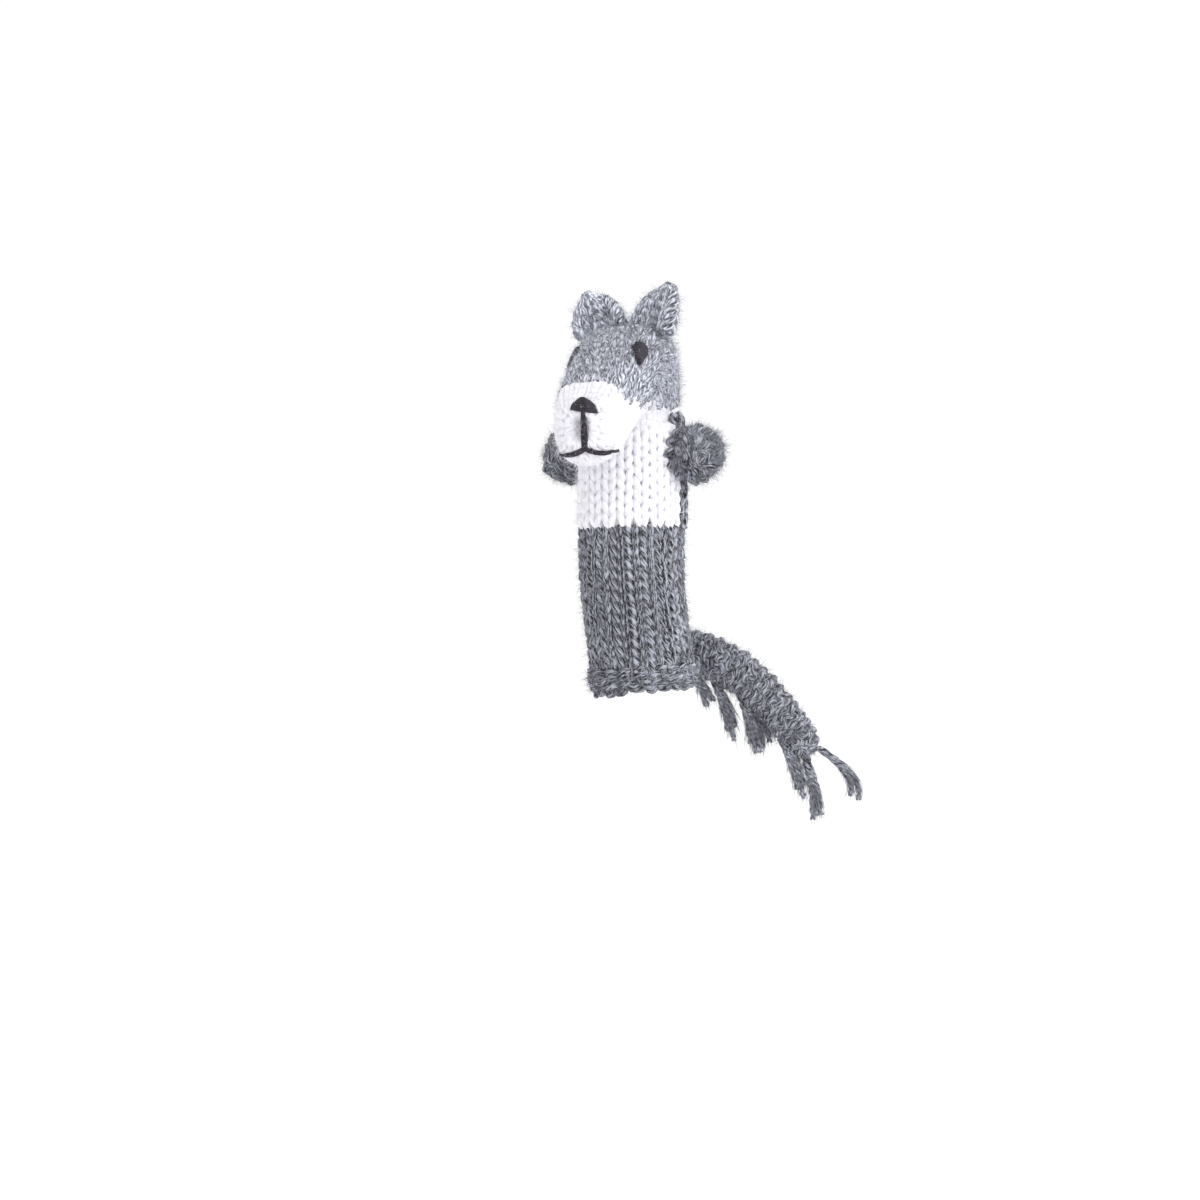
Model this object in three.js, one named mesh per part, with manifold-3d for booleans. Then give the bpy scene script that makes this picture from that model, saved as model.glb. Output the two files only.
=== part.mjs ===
import * as THREE from 'three';
import { mergeVertices } from 'three/addons/utils/BufferGeometryUtils.js';
import Module from 'manifold-3d';

// A hand-knitted wolf finger puppet: millimetres, +Z up. The origin is the centre of the
// finger opening, at the hem's lower edge. The puppet faces -Y and its left side is +X.

// ---- driving dimensions ----------------------------------------------------------------

const BODY_RADIUS = 12.6; // outside of the knitted tube
const KNIT_WALL = 2.1; // thickness of the knitted cloth
const GAP = 0.3; // seam gap between touching pieces
const HEM_HEIGHT = 3.6; // garter-stitch edge
const HEM_STAND = 0.4; // how far the hem stands out of the tube
const WAIST_LOW = 26.3; // where the band that bends with the finger starts
const COLOUR_CHANGE = 39.0; // where dark grey changes to the white chest
const BODY_HEIGHT = 61.8; // top of the closed tube
const SHOULDER_DROP = 5.3; // height over which the tube's top closes in
const SHOULDER_INSET = 4.0; // how far the tube's top closes in
const PANEL_ANGLE = 97; // half the angle of the white chest panel
const SIDE_SEAM_WIDTH = 2.4;
const SIDE_SEAM_DEPTH = 1.3;

const NECK_SIDE_INSET = 5.1; // neck stitches, in from the side of the head
const NECK_BACK_INSET = 3.6; // neck stitches, in from the back of the head
const NECK_HEIGHT = 2.1;
const NECK_BAND = 2.8; // radial width of the ring of neck stitches

const HEAD_WIDTH = 25.0;
const HEAD_HEIGHT = 24.5; // from the tube's top to the crown
const HEAD_BACK = 11.0; // from the body's axis to the back of the head
const CROWN_FORWARD = 1.0; // from the body's axis to the highest point
const MUZZLE_REACH = 11.2; // from the chest to the front of the muzzle
const JAW_DROP = 6.2; // from the tube's top down to the chin
const MUZZLE_TOP = 6.8; // from the tube's top up to the front edge of the muzzle
const MUZZLE_WIDTH = 15.6;
const NOSE_SIZE = [6.4, 3.8]; // width, height
const EYE_SIZE = [3.3, 5.2]; // width, height
const THREAD = 1.3; // width of the embroidered mouth lines
const STITCH_STAND = 0.7; // how far embroidery stands out of the knitting
const LIP_SPREAD = 5.6; // from the middle to a corner of the mouth

const EAR_BASE = 11.4;
const EAR_HEIGHT = 10.6;
const EAR_THICKNESS = 3.0;
const EAR_TIP_SHARE = 0.86; // where the tip lies along the base, from the middle outwards

const ARM_RADIUS = 6.4;
const ARM_LENGTH = 8.6; // from the seam to the end of the paw
const ARM_DROP = 6.0; // from the tube's top down to the arm's axis
const ARM_ANGLE = 92; // from the front, round to the arm
const ARM_SEAM = 1.0; // length of the sewn seam between tube and arm
const ARM_WALL = 1.7;

const TAIL_HEIGHT = 10.0; // the tail's root above the hem
const TAIL_RADIUS = 4.7;
const TAIL_END_RADIUS = 3.6;
const KNOT_RADIUS = 3.5;
const FRINGE_THICKNESS = 2.0;

const SIDES = 20; // sides of a round section

// ---- derived places --------------------------------------------------------------------

const tubeBore = BODY_RADIUS - KNIT_WALL;
const headBase = BODY_HEIGHT + 0.8;
const armHeight = BODY_HEIGHT - ARM_DROP;
const radians = THREE.MathUtils.degToRad;

// The tail's middle line, from its root ball to its knot, taken from the root.
const tailRoot = new THREE.Vector3(0, BODY_RADIUS + GAP + TAIL_RADIUS, TAIL_HEIGHT);
const tailSteps = [
  [0, 0, 0], [5.2, 1.2, -0.6], [10.4, 3.1, -2.2], [15.0, 5.5, -4.6],
  [19.6, 7.9, -8.6], [23.8, 10.1, -13.6], [27.6, 12.1, -18.8], [30.0, 13.7, -22.6],
];
const tailLine = new THREE.CatmullRomCurve3(
  tailSteps.map(([x, y, z]) => new THREE.Vector3(x, y, z).add(tailRoot)),
);
const TAIL_SPLITS = [0.39, 0.71]; // where the tail bends, as shares of its length

// Hanging tufts: share of the tail's length where each hangs, its length, its lean along
// the tail, its width, and how far it hangs to one side of the tail's middle line.
const TUFTS = [
  { name: 'fringe_1', at: 0.17, length: 7.5, lean: 1.6, width: 4.2, aside: 0 },
  { name: 'fringe_2', at: 0.29, length: 14.0, lean: 4.2, width: 3.8, aside: 0 },
  { name: 'fringe_3', at: 0.46, length: 14.0, lean: 3.4, width: 3.0, aside: -0.9 },
  { name: 'fringe_4', at: 0.58, length: 9.0, lean: 2.4, width: 2.6, aside: 0.9 },
  { name: 'fringe_5', at: 0.78, length: 13.5, lean: 5.4, width: 3.0, aside: -1.2 },
  { name: 'fringe_6', at: 0.88, length: 5.0, lean: 1.6, width: 2.2, aside: 1.6 },
];
const TASSEL_STRANDS = [
  { name: 'tassel_long', length: 15.5, lean: 3.0, width: 2.4, reach: 0.2 },
  { name: 'tassel_curl', length: 12.5, lean: 8.6, width: 2.8, reach: 3.3 },
];

// ---- materials -------------------------------------------------------------------------

const yarn = (name, color, roughness = 0.95) =>
  new THREE.MeshStandardMaterial({ name, color, roughness, metalness: 0 });
const DARK_GREY = yarn('charcoal_marl_yarn', '#6a6c71');
const LIGHT_GREY = yarn('silver_marl_yarn', '#a2a5aa');
const WHITE = yarn('white_yarn', '#f4f4f6');
const BLACK = yarn('black_thread', '#2a2628', 0.85);
const WADDING = yarn('polyester_wadding', '#f2f1ec', 1);

// ---- solids ----------------------------------------------------------------------------

const wasm = await Module();
wasm.setup();

function toSolid(geometry) {
  const bare = geometry.clone();
  bare.deleteAttribute('normal');
  bare.deleteAttribute('uv');
  const merged = mergeVertices(bare, 1e-5);
  return new wasm.Manifold(new wasm.Mesh({
    numProp: 3,
    vertProperties: new Float32Array(merged.attributes.position.array),
    triVerts: new Uint32Array(merged.index.array),
  }));
}

function toGeometry(solid) {
  const mesh = solid.getMesh();
  const geometry = new THREE.BufferGeometry();
  geometry.setAttribute('position', new THREE.BufferAttribute(mesh.vertProperties, 3));
  geometry.setIndex(new THREE.BufferAttribute(mesh.triVerts, 1));
  geometry.computeVertexNormals();
  return geometry;
}

const cut = (geometry, ...tools) => toGeometry(
  tools.reduce((solid, tool) => solid.subtract(toSolid(tool)), toSolid(geometry)),
);

// Triangles that close one end ring, which may be any flat outline.
function capFaces(ring, offset, reversed) {
  const centre = ring.reduce((sum, p) => sum.add(p), new THREE.Vector3()).divideScalar(ring.length);
  const normal = new THREE.Vector3();
  ring.forEach((p, i) => {
    const next = ring[(i + 1) % ring.length];
    normal.add(p.clone().sub(centre).cross(next.clone().sub(centre)));
  });
  const turn = new THREE.Quaternion().setFromUnitVectors(normal.normalize(), new THREE.Vector3(0, 0, 1));
  const flat = ring.map((p) => p.clone().sub(centre).applyQuaternion(turn));
  const faces = THREE.ShapeUtils.triangulateShape(flat.map((p) => new THREE.Vector2(p.x, p.y)), []);
  return faces.flatMap(([a, b, c]) => (reversed ? [c, b, a] : [a, b, c]).map((i) => i + offset));
}

// A closed skin over rings of equal length. Open ends are capped; a loop joins its last
// ring to its first.
function loft(rings, loop = false) {
  const sides = rings[0].length;
  const points = rings.flat();
  const faces = [];
  const bands = loop ? rings.length : rings.length - 1;
  for (let i = 0; i < bands; i += 1) {
    const a = i * sides;
    const b = ((i + 1) % rings.length) * sides;
    for (let j = 0; j < sides; j += 1) {
      const k = (j + 1) % sides;
      faces.push(a + j, a + k, b + k, a + j, b + k, b + j);
    }
  }
  if (!loop) {
    faces.push(...capFaces(rings[0], 0, true));
    faces.push(...capFaces(rings.at(-1), points.length - sides, false));
  }
  if (signedVolume(points, faces) < 0) faces.reverse();
  const geometry = new THREE.BufferGeometry().setFromPoints(points);
  geometry.setIndex(faces);
  geometry.computeVertexNormals();
  return geometry;
}

function signedVolume(points, faces) {
  let six = 0;
  for (let i = 0; i < faces.length; i += 3) {
    const [a, b, c] = [points[faces[i]], points[faces[i + 1]], points[faces[i + 2]]];
    six += a.dot(b.clone().cross(c));
  }
  return six / 6;
}

// A solid of revolution about +Z from [radius, height] points.
function turned(profile, sides = SIDES) {
  const points = profile.map(([r, z]) => new THREE.Vector2(r, z));
  return new THREE.LatheGeometry(points, sides).rotateX(Math.PI / 2);
}

const ringProfile = (inner, outer, low, high) => [
  [inner, low], [outer, low], [outer, high], [inner, high], [inner, low],
];

// A point on an oval with squared shoulders; power 2 is an ellipse.
function superOval(angle, power) {
  const bend = (v) => Math.sign(v) * Math.abs(v) ** (2 / power);
  return [bend(Math.cos(angle)), bend(Math.sin(angle))];
}

// A round rod along a curve, its radius given as a function of the share along it.
function rod(curve, radiusAt, steps, sides, from = 0, to = 1) {
  const rings = [];
  for (let i = 0; i <= steps; i += 1) {
    const t = THREE.MathUtils.lerp(from, to, i / steps);
    const centre = curve.getPointAt(t);
    const along = curve.getTangentAt(t);
    const across = new THREE.Vector3(0, 0, 1).cross(along).normalize();
    const up = along.clone().cross(across);
    const ring = [];
    for (let j = 0; j < sides; j += 1) {
      const angle = (2 * Math.PI * j) / sides;
      ring.push(centre.clone()
        .addScaledVector(across, radiusAt(t) * Math.cos(angle))
        .addScaledVector(up, radiusAt(t) * Math.sin(angle)));
    }
    rings.push(ring);
  }
  return loft(rings);
}

const group = new THREE.Group();
group.name = 'finger_puppet';

function place(name, geometry, material, parent = group) {
  const mesh = new THREE.Mesh(geometry, material);
  mesh.name = name;
  parent.add(mesh);
  return mesh;
}

// ---- knitted tube ----------------------------------------------------------------------

function hemBand() {
  const outer = BODY_RADIUS + HEM_STAND;
  return turned([
    [tubeBore, 0], [outer - 0.5, 0], [outer, 0.9], [outer, HEM_HEIGHT - 0.9],
    [outer - 0.5, HEM_HEIGHT], [tubeBore, HEM_HEIGHT], [tubeBore, 0],
  ]);
}

// One panel of the upper tube, turned about the body's axis between two angles from the
// front, with its top closing in over the shoulder.
function upperPanel(startAngle, endAngle) {
  const shoulder = BODY_HEIGHT - SHOULDER_DROP;
  const inset = BODY_RADIUS - SHOULDER_INSET;
  const outline = [[tubeBore, COLOUR_CHANGE], [BODY_RADIUS, COLOUR_CHANGE]];
  const arcSteps = 4;
  for (let i = 0; i <= arcSteps; i += 1) {
    const angle = (Math.PI / 2) * (i / arcSteps);
    outline.push([
      inset + SHOULDER_INSET * Math.cos(angle), shoulder + SHOULDER_DROP * Math.sin(angle),
    ]);
  }
  for (let i = arcSteps; i >= 1; i -= 1) {
    const angle = (Math.PI / 2) * (i / arcSteps);
    outline.push([
      inset + (SHOULDER_INSET - KNIT_WALL) * Math.cos(angle),
      shoulder + (SHOULDER_DROP - KNIT_WALL) * Math.sin(angle),
    ]);
  }
  outline.push([tubeBore, shoulder]);
  const steps = 10;
  const rings = [];
  for (let i = 0; i <= steps; i += 1) {
    const angle = radians(THREE.MathUtils.lerp(startAngle, endAngle, i / steps));
    rings.push(outline.map(([r, z]) => new THREE.Vector3(r * Math.sin(angle), -r * Math.cos(angle), z)));
  }
  return loft(rings);
}

// The rope-like seam where the white and grey panels are sewn together, below an arm.
function sideSeam() {
  const low = COLOUR_CHANGE + GAP;
  const high = armHeight - ARM_RADIUS - 1.0;
  const steps = 5;
  const rings = [];
  for (let i = 0; i <= steps; i += 1) {
    const share = i / steps;
    const size = 0.6 + 0.4 * Math.sin(Math.PI * share);
    const z = THREE.MathUtils.lerp(low, high, share);
    const ring = [];
    for (let j = 0; j < 8; j += 1) {
      const angle = (2 * Math.PI * j) / 8;
      ring.push(new THREE.Vector3(
        BODY_RADIUS + GAP + SIDE_SEAM_DEPTH / 2 + (size * SIDE_SEAM_DEPTH * Math.cos(angle)) / 2,
        (size * SIDE_SEAM_WIDTH * Math.sin(angle)) / 2,
        z,
      ));
    }
    rings.push(ring);
  }
  return loft(rings);
}

function buildTube() {
  place('hem_band', hemBand(), DARK_GREY);
  place('lower_tube', turned(ringProfile(tubeBore, BODY_RADIUS, HEM_HEIGHT + GAP, WAIST_LOW - GAP)), DARK_GREY);
  place('waist_band', turned(ringProfile(tubeBore, BODY_RADIUS, WAIST_LOW, COLOUR_CHANGE - GAP)), DARK_GREY);
  const half = THREE.MathUtils.radToDeg(GAP / 2 / tubeBore);
  place('chest_panel', upperPanel(-PANEL_ANGLE + half, PANEL_ANGLE - half), WHITE);
  place('back_panel', upperPanel(PANEL_ANGLE + half, 360 - PANEL_ANGLE - half), DARK_GREY);
  const crownRadius = BODY_RADIUS - SHOULDER_INSET - GAP;
  place('crown_gather', turned([
    [0, BODY_HEIGHT - KNIT_WALL], [crownRadius, BODY_HEIGHT - KNIT_WALL],
    [crownRadius, BODY_HEIGHT], [0, BODY_HEIGHT],
  ]), WHITE);
  for (const [name, side] of [['side_seam_left', 1], ['side_seam_right', -1]]) {
    const seam = place(name, sideSeam(), DARK_GREY);
    seam.rotation.z = radians(side * PANEL_ANGLE - 90);
  }
}

function buildNeck() {
  const outer = HEAD_WIDTH / 2 - NECK_SIDE_INSET;
  const deep = HEAD_BACK - NECK_BACK_INSET;
  const low = BODY_HEIGHT + GAP;
  const ring = turned(ringProfile(outer - NECK_BAND, outer, low, low + NECK_HEIGHT));
  place('neck_stitches', ring.scale(1, deep / outer, 1), DARK_GREY);
}

// ---- head ------------------------------------------------------------------------------

// Sections of the head, from the neck over the crown to the muzzle: the throat-side point,
// the crown-side point (both [y, z]) and half the width.
const chest = -BODY_RADIUS;
const front = chest - MUZZLE_REACH;
const crown = BODY_HEIGHT + HEAD_HEIGHT;
const chin = BODY_HEIGHT - JAW_DROP;
const muzzleTop = BODY_HEIGHT + MUZZLE_TOP;
const halfHead = HEAD_WIDTH / 2;
const halfMuzzle = MUZZLE_WIDTH / 2;
const HEAD_SECTIONS = [
  { throat: [chest + 1.9, headBase], crown: [HEAD_BACK - 1.2, headBase + 1.9], half: 0.83 * halfHead },
  { throat: [chest + 1.0, headBase + 0.1], crown: [HEAD_BACK, headBase + 7.4], half: 0.95 * halfHead },
  { throat: [chest + 0.2, headBase - 0.1], crown: [HEAD_BACK, headBase + 14.4], half: halfHead },
  { throat: [chest - 0.7, headBase - 0.5], crown: [HEAD_BACK - 4.0, crown - 2.3], half: 0.99 * halfHead },
  { throat: [chest - 1.7, headBase - 1.3], crown: [-CROWN_FORWARD, crown], half: 0.96 * halfHead },
  { throat: [chest - 3.1, headBase - 2.8], crown: [-CROWN_FORWARD - 8.5, crown - 3.8], half: 0.93 * halfHead },
  { throat: [chest - 5.3, chin + 2.0], crown: [front + 7.8, crown - 9.3], half: 0.85 * halfHead },
  { throat: [chest - 8.0, chin], crown: [front + 2.8, muzzleTop + 3.2], half: 1.2 * halfMuzzle },
  { throat: [front + 0.7, chin + 0.6], crown: [front - 0.2, muzzleTop], half: halfMuzzle },
  { throat: [front - 0.6, chin + 2.6], crown: [front - 1.2, muzzleTop - 2.4], half: 0.72 * halfMuzzle },
];
const COLOUR_SECTION = 6; // the section where the grey head changes to the white muzzle
const HEAD_POWER = 2.6;

function smoothSections(from, to, steps) {
  const curves = ['throat', 'crown'].map((side) => new THREE.CatmullRomCurve3(
    HEAD_SECTIONS.map((s) => new THREE.Vector3(s.half, ...s[side])),
    false, 'catmullrom', 0.5,
  ));
  const sections = [];
  for (let i = 0; i <= steps; i += 1) {
    const t = THREE.MathUtils.lerp(from, to, i / steps) / (HEAD_SECTIONS.length - 1);
    const [low, high] = curves.map((curve) => curve.getPoint(t));
    sections.push({ throat: [low.y, low.z], crown: [high.y, high.z], half: low.x });
  }
  return sections;
}

// One ring of the head's skin, grown or shrunk evenly by an offset.
function headRing(section, offset) {
  const throat = new THREE.Vector3(0, ...section.throat);
  const top = new THREE.Vector3(0, ...section.crown);
  const along = top.clone().sub(throat);
  const halfHeight = along.length() / 2 + offset;
  along.normalize();
  const centre = throat.add(top).multiplyScalar(0.5);
  const ring = [];
  for (let j = 0; j < SIDES; j += 1) {
    const [high, wide] = superOval((2 * Math.PI * (j + 0.5)) / SIDES, HEAD_POWER);
    const point = centre.clone().addScaledVector(along, halfHeight * high);
    point.x += (section.half + offset) * wide;
    ring.push(point);
  }
  return ring;
}

const headSkin = (from, to, steps, offset) => smoothSections(from, to, steps)
  .map((section) => headRing(section, offset));

function headShell() {
  const outer = headSkin(0, COLOUR_SECTION, 9, 0);
  const inner = headSkin(0, COLOUR_SECTION, 9, -KNIT_WALL).reverse();
  return loft([...outer, ...inner], true);
}

function muzzleShell() {
  const start = COLOUR_SECTION + 0.07;
  const last = HEAD_SECTIONS.length - 1;
  const outside = loft(headSkin(start, last, 5, 0));
  const inside = loft(headSkin(COLOUR_SECTION - 0.5, last - 1.2, 4, -KNIT_WALL));
  return cut(outside, inside);
}

// Wadding fills each shell to a seam gap of its wall.
const wadding = (from, to, steps) => loft(headSkin(from, to, steps, -KNIT_WALL - 2 * GAP));

// Embroidery is padded satin stitch: a lens or rope laid on the skin, with its underside cut
// to the skin's shape.
function onSkin(geometry) {
  return cut(geometry, loft(headSkin(0, HEAD_SECTIONS.length - 1, 18, GAP)));
}

const skinPoint = (section, angle) => {
  const [low] = headSkin(section, section + 0.01, 1, 0);
  const share = ((angle / (2 * Math.PI)) * SIDES) - 0.5;
  const index = (Math.floor(share) + SIDES) % SIDES;
  return low[index].clone().lerp(low[(index + 1) % SIDES], share - Math.floor(share));
};

function eye(side) {
  const centre = skinPoint(5.35, side * radians(42) + (side < 0 ? 2 * Math.PI : 0));
  const lens = new THREE.SphereGeometry(1, 12, 8);
  lens.scale(EYE_SIZE[0] / 2, STITCH_STAND + 1.0, EYE_SIZE[1] / 2);
  lens.rotateX(radians(-48)).rotateZ(radians(side * 32));
  return onSkin(lens.translate(centre.x, centre.y, centre.z));
}

const noseCentre = new THREE.Vector3(0, front - 0.4, muzzleTop - 1.2);

function nose() {
  const pad = new THREE.SphereGeometry(1, 14, 8);
  pad.scale(NOSE_SIZE[0] / 2, STITCH_STAND + 1.0, NOSE_SIZE[1] / 2);
  pad.rotateX(radians(-28));
  return onSkin(pad.translate(...noseCentre));
}

// A thread laid down the front of the muzzle through [x, z] points.
function mouthThread(points) {
  const curve = new THREE.CatmullRomCurve3(points.map(([x, z]) => new THREE.Vector3(x, front - 1.2, z)));
  const steps = 4;
  const rings = [];
  for (let i = 0; i <= steps; i += 1) {
    const centre = curve.getPointAt(i / steps);
    const along = curve.getTangentAt(i / steps);
    const across = new THREE.Vector3(0, 1, 0).cross(along).normalize();
    const deep = 2.4;
    const ring = [];
    for (let j = 0; j < 8; j += 1) {
      const angle = (2 * Math.PI * j) / 8;
      ring.push(centre.clone()
        .addScaledVector(across, (THREAD / 2) * Math.cos(angle))
        .add(new THREE.Vector3(0, deep * Math.sin(angle) * 0.5 + 0.3, 0)));
    }
    rings.push(ring);
  }
  return onSkin(loft(rings));
}

function buildHead() {
  const last = HEAD_SECTIONS.length - 1;
  place('head_shell', headShell(), LIGHT_GREY);
  place('muzzle_shell', muzzleShell(), WHITE);
  place('head_stuffing', wadding(1.5, COLOUR_SECTION - 0.7, 7), WADDING);
  place('muzzle_stuffing', wadding(COLOUR_SECTION - 0.55, last - 1.3, 4), WADDING);
  for (const [name, side] of [['eye_left', 1], ['eye_right', -1]]) place(name, eye(side), BLACK);
  place('nose', nose(), BLACK);
  const lipHeight = chin + 1.4;
  const philtrumTop = noseCentre.z - NOSE_SIZE[1] / 2 - 0.2;
  place('philtrum', mouthThread([[0, philtrumTop], [0.1, lipHeight + THREAD / 2 + 0.5]]), BLACK);
  for (const [name, side] of [['lip_left', 1], ['lip_right', -1]]) {
    place(name, mouthThread([
      [side * (THREAD / 2 - 0.4), lipHeight],
      [side * LIP_SPREAD * 0.55, lipHeight - 0.7],
      [side * LIP_SPREAD, lipHeight - 1.2],
    ]), BLACK);
  }
}

// ---- ears ------------------------------------------------------------------------------

// The line that an ear is sewn along, from the middle of the crown outwards.
const earBevel = EAR_THICKNESS / 2 - 0.5;
const earInner = new THREE.Vector3(1.5, -CROWN_FORWARD, crown + 2 * GAP + earBevel);
const earDirection = new THREE.Vector3(1, -0.22, -0.25).normalize();

function ear() {
  const shape = new THREE.Shape();
  const round = 1.1;
  const tip = [EAR_BASE * EAR_TIP_SHARE, EAR_HEIGHT];
  shape.moveTo(0.4, -earBevel);
  shape.lineTo(EAR_BASE - 0.2, -earBevel);
  shape.quadraticCurveTo(EAR_BASE + 0.6, EAR_HEIGHT * 0.45, tip[0] + round, tip[1] - round);
  shape.quadraticCurveTo(tip[0] + 0.2, tip[1] + 0.2, tip[0] - round, tip[1] - 0.7);
  shape.quadraticCurveTo(EAR_BASE * 0.34, EAR_HEIGHT * 0.66, 0.4, -earBevel);
  const sheet = new THREE.ExtrudeGeometry(shape, {
    depth: EAR_THICKNESS - 2 * earBevel,
    bevelThickness: earBevel, bevelSize: earBevel, bevelOffset: -earBevel,
    bevelSegments: 2, curveSegments: 5,
  });
  return toGeometry(toSolid(sheet.translate(0, 0, earBevel - EAR_THICKNESS / 2)));
}

function buildEars() {
  for (const [name, side] of [['ear_left', 1], ['ear_right', -1]]) {
    const across = new THREE.Vector3(side * earDirection.x, earDirection.y, earDirection.z);
    const up = new THREE.Vector3(0, 0.12, 1);
    up.addScaledVector(across, -up.dot(across)).normalize();
    const through = across.clone().cross(up);
    const mesh = place(name, ear(), LIGHT_GREY);
    if (side < 0) mesh.geometry.scale(1, 1, -1).index.array.reverse();
    mesh.quaternion.setFromRotationMatrix(new THREE.Matrix4().makeBasis(across, up, through));
    mesh.position.set(side * earInner.x, earInner.y, earInner.z);
  }
}

// ---- arms ------------------------------------------------------------------------------

// Outline of a paw as [radius, distance from the seam], from the seam's rim to the tip.
const pawOutline = (inset) => [0, 0.12, 0.3, 0.55, 0.78, 0.92, 0.985].map((share) => {
  const bulge = Math.sqrt(Math.max(0, 1 - ((share - 0.36) / 0.66) ** 2));
  return [Math.max(0.4, ARM_RADIUS * bulge - inset), share * ARM_LENGTH];
});

function armShell() {
  const tip = ARM_LENGTH;
  const outer = pawOutline(0);
  const inner = pawOutline(ARM_WALL).filter(([, z]) => z < tip - ARM_WALL - GAP);
  return turned([[0, tip - ARM_WALL], ...inner.reverse(), ...outer, [0, tip]], 16);
}

function armStuffing() {
  const room = ARM_WALL + 2 * GAP;
  const fill = pawOutline(room).filter(([, z]) => z < ARM_LENGTH - room - GAP);
  return turned([[0, 0], ...fill, [0, ARM_LENGTH - room]], 16);
}

function armSeam() {
  const outer = pawOutline(0)[0][0];
  return turned(ringProfile(outer - 1.5, outer, -3, ARM_SEAM), 16);
}

function buildArms() {
  const seat = BODY_RADIUS + GAP;
  for (const [name, side] of [['left', 1], ['right', -1]]) {
    const holder = new THREE.Group();
    holder.rotation.z = radians(side * ARM_ANGLE - 90);
    group.add(holder);
    const start = seat + ARM_SEAM + GAP;
    const lay = (geometry, reach) => geometry.rotateY(Math.PI / 2).translate(reach, 0, armHeight);
    place(`arm_${name}_shell`, toGeometry(toSolid(lay(armShell(), start))), DARK_GREY, holder);
    place(`arm_${name}_stuffing`, toGeometry(toSolid(lay(armStuffing(), start))), WADDING, holder);
    const tube = turned([[0, 0], [seat, 0], [seat, BODY_HEIGHT * 2], [0, BODY_HEIGHT * 2]], 60);
    place(`arm_${name}_seam`, cut(lay(armSeam(), seat), tube), DARK_GREY, holder);
  }
}

// ---- tail ------------------------------------------------------------------------------

const tailRadius = (t) => THREE.MathUtils.lerp(TAIL_RADIUS, TAIL_END_RADIUS, t);
const ball = (centre, radius, sides = 16) => new THREE.SphereGeometry(radius, sides, 10)
  .rotateX(Math.PI / 2).translate(centre.x, centre.y, centre.z);

// A stretch of the tail: rounded at its start about the bend, hollowed at its end for the
// next stretch to turn in.
function tailStretch(from, to) {
  const steps = 4;
  const body = toSolid(rod(tailLine, tailRadius, steps, 14, from, to));
  const startBall = toSolid(ball(tailLine.getPointAt(from), tailRadius(from) - 0.02));
  const endBall = toSolid(ball(tailLine.getPointAt(to), tailRadius(to) + GAP));
  return toGeometry(body.add(startBall).subtract(endBall));
}

// A hanging tuft of yarn, rounded where it is knotted on and tapering to its cut ends.
function tuft({ length, lean, width }, start, along) {
  const steps = 5;
  const rings = [];
  for (let i = 0; i <= steps; i += 1) {
    const share = i / steps;
    const centre = start.clone().addScaledVector(along, lean * share ** 1.3);
    centre.z -= length * share;
    const half = (width / 2) * (share === 0 ? 0.55 : 1 - 0.35 * share);
    const thick = (FRINGE_THICKNESS / 2) * (share === 0 ? 0.6 : 1 - 0.3 * share);
    const across = new THREE.Vector3(-along.y, along.x, 0);
    const ring = [];
    for (let j = 0; j < 8; j += 1) {
      const angle = (2 * Math.PI * j) / 8;
      ring.push(centre.clone()
        .addScaledVector(along, half * Math.cos(angle))
        .addScaledVector(across, thick * Math.sin(angle)));
    }
    rings.push(ring);
  }
  return loft(rings);
}

const levelTangent = (t) => tailLine.getTangentAt(t).setZ(0).normalize();

function buildTail() {
  const [first, second] = TAIL_SPLITS;
  place('tail_root_knot', toGeometry(toSolid(ball(tailRoot, TAIL_RADIUS))), DARK_GREY);
  const rootBall = ball(tailRoot, TAIL_RADIUS + GAP);
  const baseStart = 0.07;
  const base = toSolid(rod(tailLine, tailRadius, 4, 14, baseStart, first));
  const endBall = toSolid(ball(tailLine.getPointAt(first), tailRadius(first) + GAP));
  place('tail_base', toGeometry(base.subtract(toSolid(rootBall)).subtract(endBall)), DARK_GREY);
  place('tail_middle', tailStretch(first, second), DARK_GREY);
  const knotCentre = tailLine.getPointAt(1);
  const endRod = toSolid(rod(tailLine, tailRadius, 4, 14, second, 0.99));
  const endStart = toSolid(ball(tailLine.getPointAt(second), tailRadius(second) - 0.02));
  const knotRoom = toSolid(ball(knotCentre, KNOT_RADIUS + GAP));
  place('tail_end', toGeometry(endRod.add(endStart).subtract(knotRoom)), DARK_GREY);
  place('tail_knot', toGeometry(toSolid(ball(knotCentre, KNOT_RADIUS, 12))), DARK_GREY);
  for (const spec of TUFTS) {
    const start = tailLine.getPointAt(spec.at);
    const slope = tailLine.getTangentAt(spec.at);
    const level = Math.hypot(slope.x, slope.y);
    start.z -= (tailRadius(spec.at) + GAP) / level + 0.6;
    const along = levelTangent(spec.at);
    start.add(new THREE.Vector3(-along.y, along.x, 0).multiplyScalar(spec.aside));
    place(spec.name, tuft(spec, start, along), DARK_GREY);
  }
  for (const spec of TASSEL_STRANDS) {
    const start = knotCentre.clone();
    const along = levelTangent(1);
    start.z -= Math.sqrt((KNOT_RADIUS + GAP) ** 2 - Math.min(spec.reach, KNOT_RADIUS) ** 2) + 0.5;
    start.addScaledVector(along, spec.reach);
    place(spec.name, tuft(spec, start, along), DARK_GREY);
  }
}

buildTube();
buildNeck();
buildHead();
buildEars();
buildArms();
buildTail();

export default group;
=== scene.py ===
import math

import bmesh
import bpy
from bpy.props import FloatProperty, FloatVectorProperty, IntProperty, PointerProperty
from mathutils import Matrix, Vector, noise
from mathutils.bvhtree import BVHTree


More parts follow.
